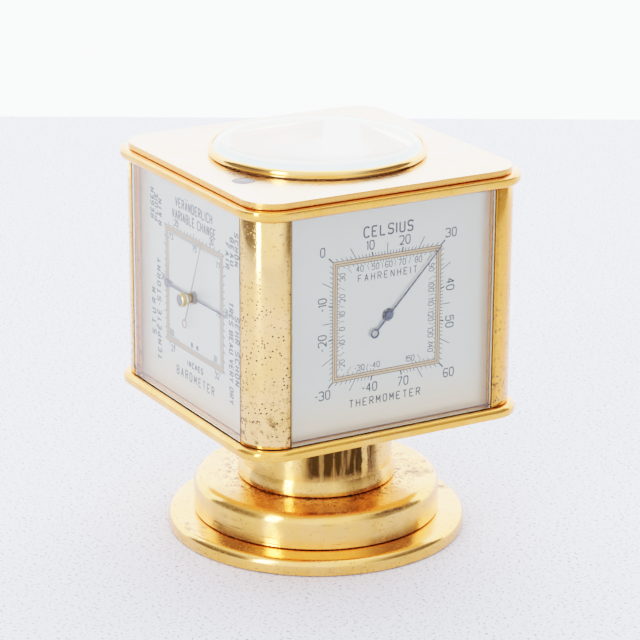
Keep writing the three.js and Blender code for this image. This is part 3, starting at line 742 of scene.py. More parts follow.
stageValues = {                     # metres
    "floorBack": 0.48,              # how far behind the object the floor ends
    "floorNear": -1.6,
    "floorHalf": 1.6,
    "floorColour": (0.81, 0.85, 0.99),
    "floorSpeck": 0.2,
    "wallGap": 0.35,
    "wallHalf": 2.2,
    "wallFoot": -0.25,
    "wallTop": 1.5,
    "wallColour": (0.93, 0.96, 1, 1),
    "wallGlow": 3.6,
    "skyColour": (0.97, 0.985, 1, 1),
    "skyGlow": 1.9,
    "sideGlow": 0.22,               # the room to the left and right, beside the camera
}
lampValues = {                      # place, size, power
    "overhead": ((-0.1, 0.15, 0.9), (0.9, 0.9), 2.5),
    "strip": ((0.34, -0.94, 0.35), (0.2, 0.9), 4.0),
    "gleam": ((0.35, -0.97, 0.36), (0.2, 0.9), 7.0),
}
toneValues = {                      # light and how bright it is shown
    "white": 6,
    "shoulder": ((0.45, 0.45), (0.8, 0.62), (1.2, 0.74), (1.8, 0.845), (2.6, 0.91), (3.6, 0.96)),
}
viewValues = {
    "place": (0.6451, -0.3717, 0.3074),
    "aim": (0, 0, 0.07),            # what the lamps point at
    "yaw": 59.98,
    "pitch": -18.30,
    "roll": 0.29,
    "lens": 154.4,
}


def paleFloor():
    f = Finish("paleFloor")
    speck = f.ramp(f.noise(1.0, 3, 0.7), 0.33, 0.45)
    colour = stageValues["floorColour"]
    tone = f.mix(speck, shade(colour, stageValues["floorSpeck"]), colour)
    return f.done(f.surface(baseColor=tone, roughness=0.6, normal=f.bump(speck, 0.5, 0.1)))


def stagePlane(name, corners, material):
    plane = addObject(name, meshOf(name, corners, [(0, 1, 2, 3)]))
    plane.data.materials.append(material)


def buildStage():
    v = stageValues
    yaw = math.radians(viewValues["yaw"])
    away = Vector((-math.sin(yaw), math.cos(yaw), 0))
    side = Vector((math.cos(yaw), math.sin(yaw), 0))
    near, back, wide = away * v["floorNear"], away * v["floorBack"], side * v["floorHalf"]
    stagePlane("floor", [near - wide, near + wide, back + wide, back - wide], paleFloor())
    wall, wide = back + away * v["wallGap"], side * v["wallHalf"]
    foot, top = Vector((0, 0, v["wallFoot"])), Vector((0, 0, v["wallTop"]))
    f = Finish("backdropGlow")
    glow = f.done(f.node("ShaderNodeEmission", {}, {"Color": v["wallColour"], "Strength": v["wallGlow"]}))
    corners = [wall - wide + foot, wall + wide + foot, wall + wide + top, wall - wide + top]
    stagePlane("backdrop", corners, glow)


def softLight(name, place, size, power):
    light = bpy.data.lights.new(name, "AREA")
    light.shape = "RECTANGLE"
    light.size, light.size_y = size
    light.energy = power
    lamp = addObject(name, light)
    lamp.location = place
    lamp.rotation_euler = (Vector(viewValues["aim"]) - Vector(place)).to_track_quat("-Z", "Y").to_euler()
    return lamp


def buildSky():
    # bright before and behind the camera, darker to both sides, so that the brass has something to mirror
    v = stageValues
    world = bpy.data.worlds.new("studio")
    bpy.context.scene.world = world
    world.use_nodes = True
    sky = Graph(world.node_tree)
    way = sky.node("ShaderNodeTexCoord", give="Generated")
    split = sky.node("ShaderNodeSeparateXYZ", {}, {"Vector": way})
    yaw = math.radians(viewValues["yaw"])
    across = abs(split * math.cos(yaw) + split.other("Y") * math.sin(yaw))
    strength = sky.node("ShaderNodeMapRange", {"interpolation_type": "SMOOTHSTEP"}, {
        "Value": across, "From Min": 0.4, "From Max": 0.88, "To Min": v["skyGlow"], "To Max": v["sideGlow"]})
    background = world.node_tree.nodes["Background"]
    background.inputs["Color"].default_value = v["skyColour"]
    world.node_tree.links.new(strength.socket, background.inputs["Strength"])


def setTone():
    # a soft shoulder, so that bright brass pales instead of turning orange
    white = toneValues["white"]
    view = bpy.context.scene.view_settings
    view.view_transform = "Standard"
    view.use_curve_mapping = True
    tone = view.curve_mapping
    tone.white_level = grey(white)
    tone.clip_max_x = 1
    curve = tone.curves[3]
    curve.points[0].location = (0, 0)
    curve.points[1].location = (1, 1)
    for light, shown in toneValues["shoulder"]:
        curve.points.new(light / white, shown)
    for point in curve.points:
        point.handle_type = "AUTO_CLAMPED"
    tone.update()


def buildLight():
    # the gleam is seen only as a highlight on the brass
    buildSky()
    for name, (place, size, power) in lampValues.items():
        lamp = softLight(name, place, size, power)
        lamp.visible_diffuse = lamp.visible_transmission = name != "gleam"
    setTone()


def buildCamera():
    camera = addObject("camera", bpy.data.cameras.new("camera"))
    camera.data.lens = viewValues["lens"]
    camera.data.sensor_width = 36
    camera.data.clip_start = 0.01
    turn = Matrix.Rotation(math.radians(viewValues["yaw"]), 4, "Z")
    tip = Matrix.Rotation(math.radians(90 + viewValues["pitch"]), 4, "X")
    roll = Matrix.Rotation(math.radians(viewValues["roll"]), 4, "Z")
    camera.matrix_world = Matrix.Translation(viewValues["place"]) @ turn @ tip @ roll
    bpy.context.scene.camera = camera


buildStage()
buildLight()
buildCamera()
print("stage, light and camera")


baseValues = {"rimTop": 2.8, "topRadius": 41.0, "rimEase": 0.35, "felt": 0.3}


def buildBase():
    v = baseValues
    low, high = boxOf("base_flange")
    recess = boxOf("felt_pad")[1]
    bore = boxOf("pivot_stud")[1].x / 2
    feltSide, feltTop = recess.x + v["felt"], recess.z + v["felt"]
    turned("baseFlange", [
        (bore, feltTop), (feltSide, feltTop), (feltSide, low.z),
        *arc(high.x - v["rimEase"], low.z + v["rimEase"], v["rimEase"], -90, 0, 4),
        (high.x, v["rimTop"]),
        *arc(v["topRadius"], v["rimTop"], high.x - v["topRadius"], 4, 70, 10),
        (v["topRadius"] - 0.2, high.z), (bore, high.z),
    ], "flange", "base", ["base_flange"])


drumValues = {"shoulder": 3.0, "wall": 1.3, "foot": 0.25, "bore": 3.3}


def buildDrum():
    v = drumValues
    low, high = boxOf("base_drum")
    turned("baseDrum", [
        (high.x - v["wall"], low.z), (high.x - v["foot"], low.z), (high.x, low.z + v["foot"]),
        *arc(high.x - v["shoulder"], high.z - v["shoulder"], v["shoulder"], 0, 90, 14),
        (v["bore"], high.z), (v["bore"], high.z - v["wall"]),
        (high.x - v["shoulder"], high.z - v["wall"]), (high.x - v["wall"], high.z - v["shoulder"]),
    ], "drum", "base", ["base_drum"], 160)


neckValues = {
    "tube": 21.9, "footHeight": 4.3, "footEase": 0.4, "cove": 0.5, "band": 1.6, "wall": 1.5,
    "flangeBore": 13.0, "flange": 2.0, "floor": 1.6, "bore": 3.3, "washerGap": 0.3,
}


def buildNeck():
    v = neckValues
    low, high = boxOf("neck")
    inside = v["tube"] - v["wall"]
    floorLow = boxOf("swivel_washer")[1].z + v["washerGap"]
    floorTop = floorLow + v["floor"]
    footTop = low.z + v["footHeight"]
    ease, cove = v["footEase"], v["cove"]
    turned("neck", [
        (inside, low.z), (high.x - 0.5, low.z), *arc(high.x - ease, low.z + ease, ease, -90, 0, 5),
        (high.x, low.z + v["band"]), *arc(v["tube"] + cove, footTop + 0.1, cove, 200, 180, 4),
        (v["tube"], high.z), (v["flangeBore"], high.z), (v["flangeBore"], high.z - v["flange"]),
        (inside, high.z - v["flange"]), (inside, floorTop), (v["bore"], floorTop), (v["bore"], floorLow),
        (inside, floorLow),
    ], "neck", "head", ["neck"])


plateValues = {"corner": 10.5, "edge": 1.4, "lip": 0.12}
coverValues = {"corner": 9.2, "chamfer": 0.22, "ease": 0.08, "hole": 28.5, "plugGap": 0.08, "plugEase": 0.15}
columnValues = {"corner": 9.7, "legInner": 38.3, "notch": 34.2}


def plateEdge(thickness):
    v = plateValues
    rounding = thickness - v["edge"]
    ease = [(v["lip"], 0), (v["lip"] * 0.3, v["lip"] * 0.3), (0, v["lip"])]
    return ease + arc(rounding, v["edge"], rounding, 180, 90, 8)


def buildPlates():
    # the same moulding below and, turned over, above
    v = plateValues
    low, high = boxOf("bottom_plate")
    lower = [(inset, low.z + z) for inset, z in plateEdge(high.z - low.z)]
    low, high = boxOf("cornice_plate")
    upper = [(inset, high.z - z) for inset, z in reversed(plateEdge(high.z - low.z))]
    for name, node, edge, hole in (
            ("bottomPlate", "bottom_plate", lower, 0),
            ("cornicePlate", "cornice_plate", upper, coverValues["hole"])):
        plate = addObject(name, plateMesh(name, boxOf(node)[1].x, v["corner"], edge, hole))
        tidyMesh(plate.data)
        settle(plate, "head", "plate", [node])


def buildCover():
    v = coverValues
    low, high = boxOf("cover_plate")
    ease, chamfer = v["ease"], v["chamfer"]
    edge = [(ease, low.z), (0, low.z + ease), *arc(chamfer, high.z - chamfer, chamfer, 180, 90, 4)]
    cover = addObject("coverPlate", plateMesh("coverPlate", high.x, v["corner"], edge, v["hole"]))
    plugLow, plugHigh = boxOf("cover_plug")
    middle = (plugLow + plugHigh) / 2
    radius = (plugHigh.x - plugLow.x) / 2
    outline = arc(middle.x, middle.y, radius + v["plugGap"], 0, 360, 48)[:-1]
    cutter = addObject("plugRoom", extruded("plugRoom", outline, plugLow.z - 0.3, high.z + 2))
    tidyMesh(cover.data)
    modifier = cover.modifiers.new("plugRoom", "BOOLEAN")
    modifier.object = cutter
    modifier.operation = "DIFFERENCE"
    plainMesh(cover)
    bpy.data.objects.remove(cutter)
    tidyMesh(cover.data, 30, False)
    settle(cover, "head", "cover", ["cover_plate"])
    place = Matrix.Translation((middle.x, middle.y, 0))
    ease = v["plugEase"]
    turned("coverPlug", [
        (0, plugLow.z), (radius, plugLow.z), (radius, plugHigh.z - ease), (radius - ease, plugHigh.z),
        (radius * 0.35, plugHigh.z), (radius * 0.3, plugHigh.z - 0.05), (0, plugHigh.z - 0.05),
    ], "nickel", "head", ["cover_plug"], 48, place)


def buildColumns():
    v = columnValues
    low, high = boxOf("corner_column_1")
    leg, notch = v["legInner"], v["notch"]
    centre = high.x - v["corner"]
    outline = [
        (high.x, low.x), *arc(centre, centre, v["corner"], 0, 90, 24), (low.x, high.x),
        (low.x, leg), (notch, leg), (notch, notch), (leg, notch), (leg, low.x),
    ]
    for i in range(4):
        name = f"column{i + 1}"
        column = addObject(name, extruded(name, outline, low.z, high.z))
        bevelled(column, 0.12)
        turn = Matrix.Rotation(i * math.pi / 2, 4, "Z")
        settle(column, "head", "column", [f"corner_column_{i + 1}"], turn)


buildBase()
buildDrum()
buildNeck()
buildPlates()
buildCover()
buildColumns()
print("base, neck and case")


# Letters of single strokes on a grid 4 wide and 6 high; ~ marks a curved stroke.
letters = {
    "A": "00 26 40|12 32", "B": "00 06|~06 46 43 03|~03 43 40 00",
    "C": "~45 46 06 00 40 41", "D": "00 06|~06 46 40 00", "E": "46 06 00 40|03 33",
    "F": "46 06 00|03 33", "G": "~45 46 06 00 40 43|43 23", "H": "06 00|46 40|03 43",
    "I": "06 00", "J": "~46 42 40 00 01", "K": "06 00|46 02|13 40", "L": "06 00 40",
    "M": "00 06 22 46 40", "N": "00 06 40 46", "O": "~26 06 00 40 46 26",
    "P": "00 06|~06 46 43 03", "R": "00 06|~06 46 43 03|23 40",
    "S": "~45 46 06 03 43 40 00 01", "T": "06 46|26 20", "U": "~06 02 00 40 42 46",
    "V": "06 20 46", "W": "06 10 34 50 66", "X": "06 40|00 46", "Y": "06 23 46|23 20",
    "Z": "06 46 00 40", "Ä": "00 26 40|12 32|07 08|47 48", "Ö": "~26 06 00 40 46 26|17 18|37 38",
    "Ê": "46 06 00 40|03 33|17 28 37", "È": "46 06 00 40|03 33|18 27", "-": "13 33",
    "0": "~26 06 00 40 46 26", "1": "05 16 10", "2": "~05 06 46 43 21 00|00 40",
    "3": "~05 06 46 43 23|~23 43 40 00 01", "4": "30 36 02 42", "5": "46 06 03|~03 24 44 40 00 01",
    "6": "~45 46 06 00 40 43 03", "7": "06 46 10",
    "8": "~23 03 06 46 43 23|~23 03 00 40 43 23", "9": "~01 00 40 46 06 03 43",
    "%": "46 00|~16 06 04 24 26 16|~30 20 22 42 40 30",
}
letterValues = {"space": 2.3, "digitSpace": 1.5, "word": 3.4, "narrow": 0.82, "height": 6.0}


def rounded(points, passes=3):
    # cuts the corners of a chain of points, keeping its two ends
    for _ in range(passes):
        cutChain = [points[0]]
        for a, b in zip(points, points[1:]):
            cutChain += [a.lerp(b, 0.25), a.lerp(b, 0.75)]
        cutChain.append(points[-1])
        points = cutChain
    return points


def letterChains(letter):
    narrow = letterValues["narrow"]
    chains = []
    for stroke in letters[letter].split("|"):
        points = [Vector((int(p[0]) * narrow, int(p[1]))) for p in stroke.strip("~").split()]
        if stroke.startswith("~"):
            chains.append(rounded(points))
        else:
            chains += [[a, b] for a, b in zip(points, points[1:])]
    wide = max(p.x for chain in chains for p in chain)
    return chains, wide, letterValues["space" if letter.isalpha() else "digitSpace"]


def textChains(text, height, centre, turn=0.0, width=None):
    # chains of points for a line of text, centred on a point and turned clockwise by degrees;
    # where a width is given, the line is narrowed, or its letters are spread, to fill it
    v = letterValues
    shapes = [None if letter == " " else letterChains(letter) for letter in text]
    solid = sum(shape[1] for shape in shapes if shape)
    last = shapes[-1][2]
    loose = sum(shape[2] for shape in shapes if shape) - last + v["word"] * shapes.count(None)
    scale = height / v["height"]
    room = width / scale if width else solid + loose
    narrowing = min(1.0, room / (solid + loose))
    tracking = (room / narrowing - solid) / loose if loose else 1.0
    chains, pen = [], 0.0
    for shape in shapes:
        if shape is None:
            pen += v["word"] * tracking
            continue
        chains += [[Vector((p.x + pen, p.y)) for p in chain] for chain in shape[0]]
        pen += shape[1] + shape[2] * tracking
    middle = Vector(((pen - last * tracking) / 2, v["height"] / 2))
    lay = Matrix.Rotation(math.radians(-turn), 2) @ Matrix(((scale * narrowing, 0), (0, scale)))
    return [[lay @ (p - middle) + Vector(centre) for p in chain] for chain in chains]


inkValues = {"height": 0.03, "line": 0.2}


def inkPiece(name, chains, width, place):
    points, edges = [], []
    for chain in chains:
        start = len(points)
        points += [(p.x, p.y, 0) for p in chain]
        edges += [(start + i, start + i + 1) for i in range(len(chain) - 1)]
    values = {"Width": width, "Height": inkValues["height"], "Material": finish["ink"]}
    piece = grow(name, meshOf(name, points, [], edges), inkTree, values)
    return settle(piece, "head", "ink", (), place)


def words(name, width, place, *lines):
    # each line is a text, its height, middle, turn and width
    return inkPiece(name, [chain for line in lines for chain in textChains(*line)], width, place)


def squareChain(half):
    # four sides that cross by half a line's width, so that the corners are whole
    over = inkValues["line"] / 2
    corners = [Vector(c) for c in ((-half, half), (half, half), (half, -half), (-half, -half))]
    chains = []
    for a, b in zip(corners, corners[1:] + corners[:1]):
        along = (b - a).normalized() * over
        chains.append([a - along, b + along])
    return chains


def ticks(name, place, first, step, count, inner, short, width, long=None, every=1, square=1.0):
    # angles in degrees, clockwise from the top
    given = {
        "First": math.radians(first), "Step": math.radians(step), "Count": count, "Inner": inner,
        "Short": short, "Long": long or short, "Every": every, "Width": width, "Square": square,
        "Height": inkValues["height"], "Material": finish["ink"],
    }
    piece = grow(name, meshOf(name, [(0, 0, 0)], []), tickTree, given)
    return settle(piece, "head", "ink", (), place)


def onSquare(angle, half):
    # the point of a square of that half-side at an angle clockwise from the top
    a = math.radians(angle)
    reach = half / max(abs(math.sin(a)), abs(math.cos(a)))
    return math.sin(a) * reach, math.cos(a) * reach


def sideTurn(angle):
    # numbers at the left read upwards and those at the right downwards
    a = (angle + 180) % 360 - 180
    if -135 < a < -45:
        return -90
    return 90 if 45 < a < 135 else 0


dialLow, dialHigh = boxOf("barometer_dial")
faceHeight = (dialLow.z + dialHigh.z) / 2
faceFront = -dialLow.y
faceNames = ["barometer", "thermometer", "hygrometer", "clock"]
bandValues = {"outer": 17.1, "inner": 15.7, "thick": 0.04}


def facePlace(side):
    # from a dial's own frame (X right, Y up, Z out, origin at its centre) to the row frame
    turn = Matrix.Rotation(side * math.pi / 2, 4, "Z")
    stand = Matrix.Rotation(math.pi / 2, 4, "X")
    return turn @ Matrix.Translation((0, -faceFront, faceHeight)) @ stand


def band(side, place):
    # the square gold line that the scales stand on, with a thin dark line along each edge
    v = bandValues
    name = faceNames[side]
    outer, inner = ([(-r, -r), (r, -r), (r, r), (-r, r)] for r in (v["outer"], v["inner"]))
    piece = addObject(f"{name}Band", washerMesh(f"{name}Band", outer, inner, 0, v["thick"]))
    tidyMesh(piece.data)
    settle(piece, "head", "band", (), place)
    halves = (v["outer"], v["inner"], (v["outer"] + v["inner"]) / 2)
    lines = [chain for half in halves for chain in squareChain(half)]
    raised = place @ Matrix.Translation((0, 0, v["thick"] * 0.6))
    inkPiece(f"{name}Lines", lines, inkValues["line"], raised)


def numbers(labels, angleOf, half, height, turnOf=sideTurn):
    chains = []
    for label in labels:
        angle = angleOf(label)
        chains += textChains(str(label), height, onSquare(angle, half), turnOf(angle))
    return chains


def upright(angle):
    return 0


thermometerValues = {
    "perDegree": 3.0, "middle": 15.0, "outerNumbers": 20.3, "innerNumbers": 14.1, "printShift": (-0.35, 0.25),
}


def thermometerFace(side=1):
    v = thermometerValues
    place = facePlace(side) @ Matrix.Translation((*v["printShift"], 0))
    band(side, place)

    def celsius(c):
        return v["perDegree"] * (c - v["middle"])

    def fahrenheit(f):
        return celsius((f - 32) / 1.8)

    def innerAngle(f):
        # the number that would stand on the corner is kept above it
        return 130 if f == 140 else fahrenheit(f)

    outer, inner = bandValues["outer"], bandValues["inner"]
    one, ten = v["perDegree"], fahrenheit(10) - fahrenheit(0)
    for scale in (
            ("celsiusTicks", place, celsius(-40), one, 111, outer, 0.95, 0.21),
            ("celsiusTens", place, celsius(-40), one * 10, 12, outer, 1.3, 0.42),
            ("celsiusFives", place, celsius(-35), one * 10, 11, outer, 3.2, 0.24),
            ("fahrenheitTicks", place, fahrenheit(-40), ten / 5, 96, inner - 0.75, 0.75, 0.17),
            ("fahrenheitFives", place, fahrenheit(-35), ten, 19, inner - 2.3, 1.6, 0.16)):
        ticks(*scale)
    inkPiece("celsiusNumbers", numbers(range(-40, 71, 10), celsius, v["outerNumbers"], 2.45), 0.36, place)
    inside = numbers(range(-40, 151, 10), innerAngle, v["innerNumbers"], 1.6)
    inkPiece("fahrenheitNumbers", inside, 0.24, place)
    words("celsiusWord", 0.48, place, ("CELSIUS", 2.85, (0.2, 24.1), 0, 15.4))
    words("fahrenheitWord", 0.28, place, ("FAHRENHEIT", 1.9, (0.1, 11.4), 0, 18.6))
    words("thermometerWord", 0.33, place, ("THERMOMETER", 2.1, (-0.3, -24.2), 0, 22.6))


barometerValues = {
    "perInch": 58.0, "middle": 29.5, "outerNumbers": 18.9, "innerNumbers": 14.2,
    "words": [                      # text, height, middle, turn, width
        ("VERÄNDERLICH", 2.5, (0, 25.2), 0, 21.6), ("VARIABLE CHANGE", 2.5, (0, 21.5), 0, 25.6),
        ("BAROMETER", 2.4, (0.2, -24.2), 0, 22.4), ("INCHES", 1.5, (0.2, -20.4), 0, 9),
        ("MM", 1.4, (0, -14.4), 0, 4), ("REGEN", 1.9, (-25.2, 21.2), -90, 8.6),
        ("PLUIE", 1.9, (-22.8, 20.6), -90, 8), ("RAIN", 1.9, (-20.4, 19.6), -90, 7.4),
        ("SCHÖN", 1.9, (24.8, 20.4), 90, 9), ("BEAU", 1.9, (22.2, 19.2), 90, 7.6),
        ("FAIR", 1.9, (19.6, 17.4), 90, 7), ("STURM", 2.1, (-25.0, -10.8), -90, 13.6),
        ("TEMPÊTE-STORMY", 2.1, (-21.6, -9.4), -90, 30), ("SEHR SCHÖN", 2.1, (25.0, -8.4), 90, 19.4),
        ("TRÈS BEAU VERY DRY", 2.1, (21.6, -9.9), 90, 29),
    ],
}


def barometerFace(side=0):
    v = barometerValues
    place = facePlace(side)
    band(side, place)

    def inches(i):
        return v["perInch"] * (i - v["middle"])

    def centimetres(c):
        return inches(c / 2.54)

    millimetre = centimetres(0.1) - centimetres(0)
    ticks("inchTicks", place, inches(27), v["perInch"] / 10, 51, bandValues["outer"], 0.9, 0.28, 1.4, 5)
    ticks("millimetreTicks", place, centimetres(68.5), millimetre, 129, bandValues["inner"] - 0.8, 0.8, 0.16)
    inkPiece("inchNumbers", numbers(range(27, 33), inches, v["outerNumbers"], 1.7, upright), 0.38, place)
    inside = numbers(range(69, 82, 2), centimetres, v["innerNumbers"], 1.6, upright)
    inkPiece("millimetreNumbers", inside, 0.34, place)
    words("weatherWords", 0.5, place, *v["words"])


hygrometerValues = {"perPercent": 2.7, "middle": 50.0, "outerNumbers": 20.0}


def hygrometerFace(side=2):
    v = hygrometerValues
    place = facePlace(side)
    band(side, place)

    def percent(p):
        return v["perPercent"] * (p - v["middle"])

    ticks("percentTicks", place, percent(0), v["perPercent"], 101, bandValues["outer"], 0.75, 0.13, 1.5, 5)
    inkPiece("percentNumbers", numbers(range(0, 101, 10), percent, v["outerNumbers"], 2.4), 0.36, place)
    words("moistureWords", 0.33, place,
          ("%", 2.4, (0, 10.5)), ("HYGROMETER", 2.1, (0, -24.2), 0, 21), ("NORMAL", 2.1, (0, 25.2), 0, 13),
          ("DRY", 2.1, (-25.5, 6), -90, 6.5), ("MOIST", 2.1, (25.5, 6), 90, 10.5))


def clockFace(side=3):
    place = facePlace(side)
    band(side, place)
    ticks("minuteTicks", place, 0, 6, 60, bandValues["outer"], 0.8, 0.15, 1.9, 5)
    inkPiece("hourNumbers", numbers(range(1, 13), lambda h: 30 * h, 21.6, 3.0, upright), 0.45, place)


barometerFace()
thermometerFace()
hygrometerFace()
clockFace()
print("dials")


handValues = {
    "thick": 0.22,
    "lift": 0.06,
    "boss": 0.35,
    "thermometer": {"length": 24.0, "tail": 6.4, "width": 0.55, "ring": 1.35, "hub": 1.25},
    "hygrometer": {"length": 22.0, "tail": 6.4, "width": 0.55, "ring": 1.35, "hub": 1.25},
    "barometer": {"length": 20.5, "tail": 15.9, "width": 0.62, "drop": 1.25, "hub": 1.45},
    "marker": {"length": 19.5, "tail": 9.0, "width": 0.42, "ring": 1.3, "hub": 1.3},
    "hour": {"length": 14.0, "tail": 4.0, "width": 2.0, "hub": 1.7},
    "minute": {"length": 21.0, "tail": 4.0, "width": 1.5, "hub": 1.4},
}


def flatPiece(name, outlines, thick, ease=0.04):
    # a sheet cut to closed outlines; an outline inside another is a hole
    curve = bpy.data.curves.new(name, "CURVE")
    curve.dimensions = "2D"
    curve.fill_mode = "BOTH"
    curve.extrude = thick / 2 - ease
    curve.bevel_depth = ease
    curve.bevel_resolution = 1
    for outline in outlines:
        spline = curve.splines.new("POLY")
        spline.points.add(len(outline) - 1)
        for point, (x, y) in zip(spline.points, outline):
            point.co = (x, y, 0, 1)
        spline.use_cyclic_u = True
    holder = addObject(name + "Outline", curve)
    piece = addObject(name, finishedMesh(holder))
    bpy.data.objects.remove(holder)
    bpy.data.curves.remove(curve)
    tidyMesh(piece.data, 50)
    return piece


def ringTailed(v):
    # a tapered pointer along Y whose tail ends in an open ring
    half = v["width"] / 2
    bite = math.degrees(math.asin(half / v["ring"]))
    loop = arc(0, -v["tail"], v["ring"], 90 - bite, -270 + bite, 28)
    outer = [(-half * 0.35, v["length"]), (half * 0.35, v["length"]), *loop]
    inner = arc(0, -v["tail"], v["ring"] - v["width"] * 0.8, 0, 360, 24)[:-1]
    return [outer, inner]


def dropTailed(v):
    # a tapered pointer whose tail ends in a drop
    half = v["width"] / 2
    drop = arc(0, -v["tail"], v["drop"], 20, -200, 16)
    return [[(-half * 0.3, v["length"]), (half * 0.3, v["length"]), (half, 0), (half, 3 - v["tail"]),
             *drop, (-half, 3 - v["tail"]), (-half, 0)]]


def leafShaped(v):
    # a clock's hand, widest near its point
    half, shoulder = v["width"] / 2, v["length"] * 0.62
    return [[(0, v["length"]), (half, shoulder), (half * 0.56, -v["tail"]), (-half * 0.56, -v["tail"]),
             (-half, shoulder)]]


def boxAcross(node, side):
    # how far a node reaches out of its dial, nearest and furthest
    low, high = boxOf(node)
    spans = [(-high.y, -low.y), (low.x, high.x), (low.y, high.y), (-high.x, -low.x)]
    near, far = spans[side]
    return near - faceFront, far - faceFront


def buildHand(kind, shape, angle, node, body, side, look="blued"):
    # a flat hand and the domed boss at its middle; the CAD hand gives its distance from the dial
    v = handValues[kind]
    name = f"{kind}Hand"
    low, high = boxAcross(node, side)
    thick, boss = handValues["thick"], low + handValues["boss"]
    sheet = flatPiece(name, shape(v), thick)
    turn = Matrix.Rotation(math.radians(-angle), 4, "Z")
    place = facePlace(side) @ Matrix.Translation((0, 0, low + thick / 2 + handValues["lift"])) @ turn
    settle(sheet, body, look, [node], place)
    turned(name + "Hub", [
        (0, low), (v["hub"], low), (v["hub"], boss), *arc(v["hub"] - 0.2, boss + 0.05, 0.2, 0, 90, 3),
        (v["hub"] * 0.55, high), (0, high),
    ], look, body, (), 40, facePlace(side))


def buildHands():
    buildHand("thermometer", ringTailed, 44, "thermometer_hand", "heat_hand", 1)
    buildHand("hygrometer", ringTailed, 22, "hygrometer_hand", "damp_hand", 2)
    buildHand("barometer", dropTailed, 90, "barometer_hand", "pressure_hand", 0)
    buildHand("marker", ringTailed, 22, "set_pointer", "set_hand", 0, "darkBrass")


def buildClockHands():
    buildHand("hour", leafShaped, 304.5, "hour_hand", "hours", 3)
    buildHand("minute", leafShaped, 54, "minute_hand", "minutes", 3)


knobValues = {"stem": 0.8, "head": 2.0, "cap": 1.7, "gap": 0.3, "ease": 0.15, "rim": 0.2}


def buildKnob():
    v = knobValues
    low, high = boxAcross("set_knob", 0)
    glass = boxAcross("barometer_glass", 0)[1] + v["gap"]
    head, cap, ease, rim = v["head"], v["cap"], v["ease"], v["rim"]
    turned("markerKnob", [
        (0, low), (v["stem"], low), (v["stem"], glass), (head - ease, glass), (head, glass + ease),
        (head, high - rim), (head - rim, high), (cap, high), (cap, high - rim), (0, high - rim),
    ], "plainBrass", "set_hand", ["set_knob"], 48, facePlace(0))
    turned("knobCap", [
        (0, high - rim + 0.02), (cap - 0.03, high - rim + 0.02), (cap - 0.03, high - 0.04), (0, high),
    ], "nickel", "set_hand", (), 48, facePlace(0))


buildHands()
buildKnob()
buildClockHands()
print("hands")


paneValues = {"ease": 0.1, "knobHole": 1.1, "holeSteps": 32}


def buildPanes():
    v = paneValues
    low, high = boxOf("barometer_glass")
    wide, tall = high.x, (high.z - low.z) / 2
    outline = [(-wide, -tall), (wide, -tall), (wide, tall), (-wide, tall)]
    for side, face in enumerate(faceNames):
        name = f"{face}Pane"
        near, far = boxAcross(f"{face}_glass", side)
        mesh = extruded(name, outline, near, far)
        if face == "barometer":
            hole = arc(0, 0, v["knobHole"], 225, 585, v["holeSteps"])[:-1]
            mesh = washerMesh(name, squareRound(outline, v["holeSteps"]), hole, near, far)
        pane = addObject(name, mesh)
        tidyMesh(pane.data)
        bevelled(pane, v["ease"], 1, 80)
        settle(pane, "head", "pane", [f"{face}_glass"], facePlace(side))


buildPanes()


compassValues = {
    "bezelSeat": 29.6, "bezelTop": 30.2, "bezelFoot": 30.3, "crystalBevel": 1.3, "cupWall": 1.2,
    "roseLong": 17.0, "roseShort": 11.5, "roseWaist": 4.2, "print": 0.03, "letters": 19.6,
    "rings": (22.4, 24.9), "ticks": 22.6,
}


def buildBezel():
    v = compassValues
    low, high = boxOf("compass_bezel")
    seat = boxOf("compass_cup")[1].z
    middle = (low.z + high.z) / 2
    turned("compassBezel", [
        (coverValues["hole"], low.z), (v["bezelFoot"], low.z), (v["bezelFoot"] + 0.35, low.z + 0.2),
        *arc(high.x - 1.0, middle + 0.1, 1.0, -50, 62, 12),
        (v["bezelTop"], high.z), (v["bezelSeat"] + 0.12, high.z), (v["bezelSeat"], high.z - 0.12),
        (v["bezelSeat"], seat), (coverValues["hole"], seat),
    ], "bezel", "head", ["compass_bezel"], 160)


def buildCrystal():
    low, high = boxOf("compass_glass")
    edge = high.z - 1.8
    reach = high.x - compassValues["crystalBevel"]
    tilts = [math.radians(a) for a in range(0, 90, 10)]
    dome = [(reach * math.cos(t), high.z - 0.5 + 0.5 * math.sin(t)) for t in tilts]
    turned("compassCrystal", [
        (0, low.z), (high.x - 0.2, low.z), (high.x, low.z + 0.2), (high.x, edge), (high.x - 0.12, edge + 0.1),
        *dome, (0, high.z),
    ], "crystal", "head", ["compass_glass"], 160)


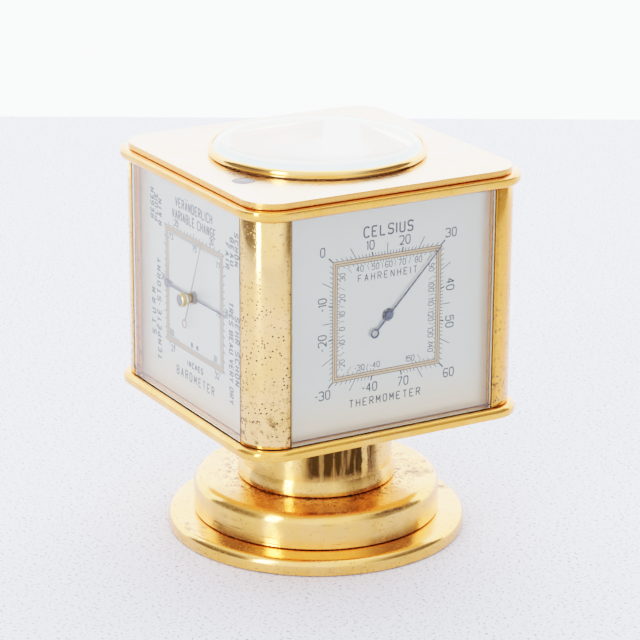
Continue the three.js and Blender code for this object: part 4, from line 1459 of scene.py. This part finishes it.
def buildCup():
    low, high = boxOf("compass_cup")
    inside = high.x - compassValues["cupWall"]
    floorTop = low.z + compassValues["cupWall"]
    turned("compassCup", [
        (0, low.z), (high.x - 0.8, low.z), (high.x, low.z + 0.8), (high.x, high.z), (inside, high.z),
        (inside, floorTop + 0.6), (inside - 0.6, floorTop), (0, floorTop),
    ], "white", "head", ["compass_cup"])


def buildCard():
    v = compassValues
    low, high = boxOf("compass_card")
    turned("compassCard", [
        (0, low.z), (high.x - 0.1, low.z), (high.x, low.z + 0.1),
        (high.x, high.z - 0.1), (high.x - 0.1, high.z), (0, high.z),
    ], "white", "head", ["compass_card"])
    place = Matrix.Translation((0, 0, high.z))
    ticks("compassDegrees", place, 0, 5, 72, v["ticks"], 0.9, 0.16, 1.8, 6, 0.0)
    chains = [[Vector(p) for p in arc(0, 0, r, 0, 360, 96)] for r in v["rings"]]
    for text, angle in (("N", 0), ("E", 90), ("S", 180), ("W", 270)):
        a = math.radians(angle)
        chains += textChains(text, 2.9, (v["letters"] * math.sin(a), v["letters"] * math.cos(a)), angle)
    inkPiece("compassLetters", chains, 0.3, place)
    points = [(0, 0, v["print"])]
    for i in range(16):
        a = math.radians(i * 22.5)
        reach = v["roseWaist"] if i % 2 else v["roseShort"] if i % 4 else v["roseLong"]
        points.append((reach * math.sin(a), reach * math.cos(a), v["print"]))
    faces = [(0, i + 1, (i + 1) % 16 + 1) for i in range(0, 16, 2)]
    rose = addObject("compassRose", meshOf("compassRose", points, faces))
    modifier = rose.modifiers.new("depth", "SOLIDIFY")
    modifier.thickness = v["print"]
    plainMesh(rose)
    tidyMesh(rose.data)
    settle(rose, "head", "ink", (), place)


def buildNeedle():
    low, high = boxOf("compass_needle")
    wide, long = high.x, high.y
    outline = [[(0, long), (wide, 0), (0, -long), (-wide, 0)], arc(0, 0, 0.9, 0, 360, 20)[:-1]]
    needle = flatPiece("compassNeedle", outline, 0.4)
    lift = Matrix.Translation((0, 0, low.z + 0.25))
    settle(needle, "needle", "needle", ["compass_needle"], lift)
    turned("needleCap", [
        (0, low.z), (1.4, low.z), (1.4, high.z - 0.35), (1.0, high.z), (0, high.z),
    ], "plainBrass", "needle", (), 32)


buildBezel()
buildCrystal()
buildCup()
buildCard()
buildNeedle()
print("glass and compass")
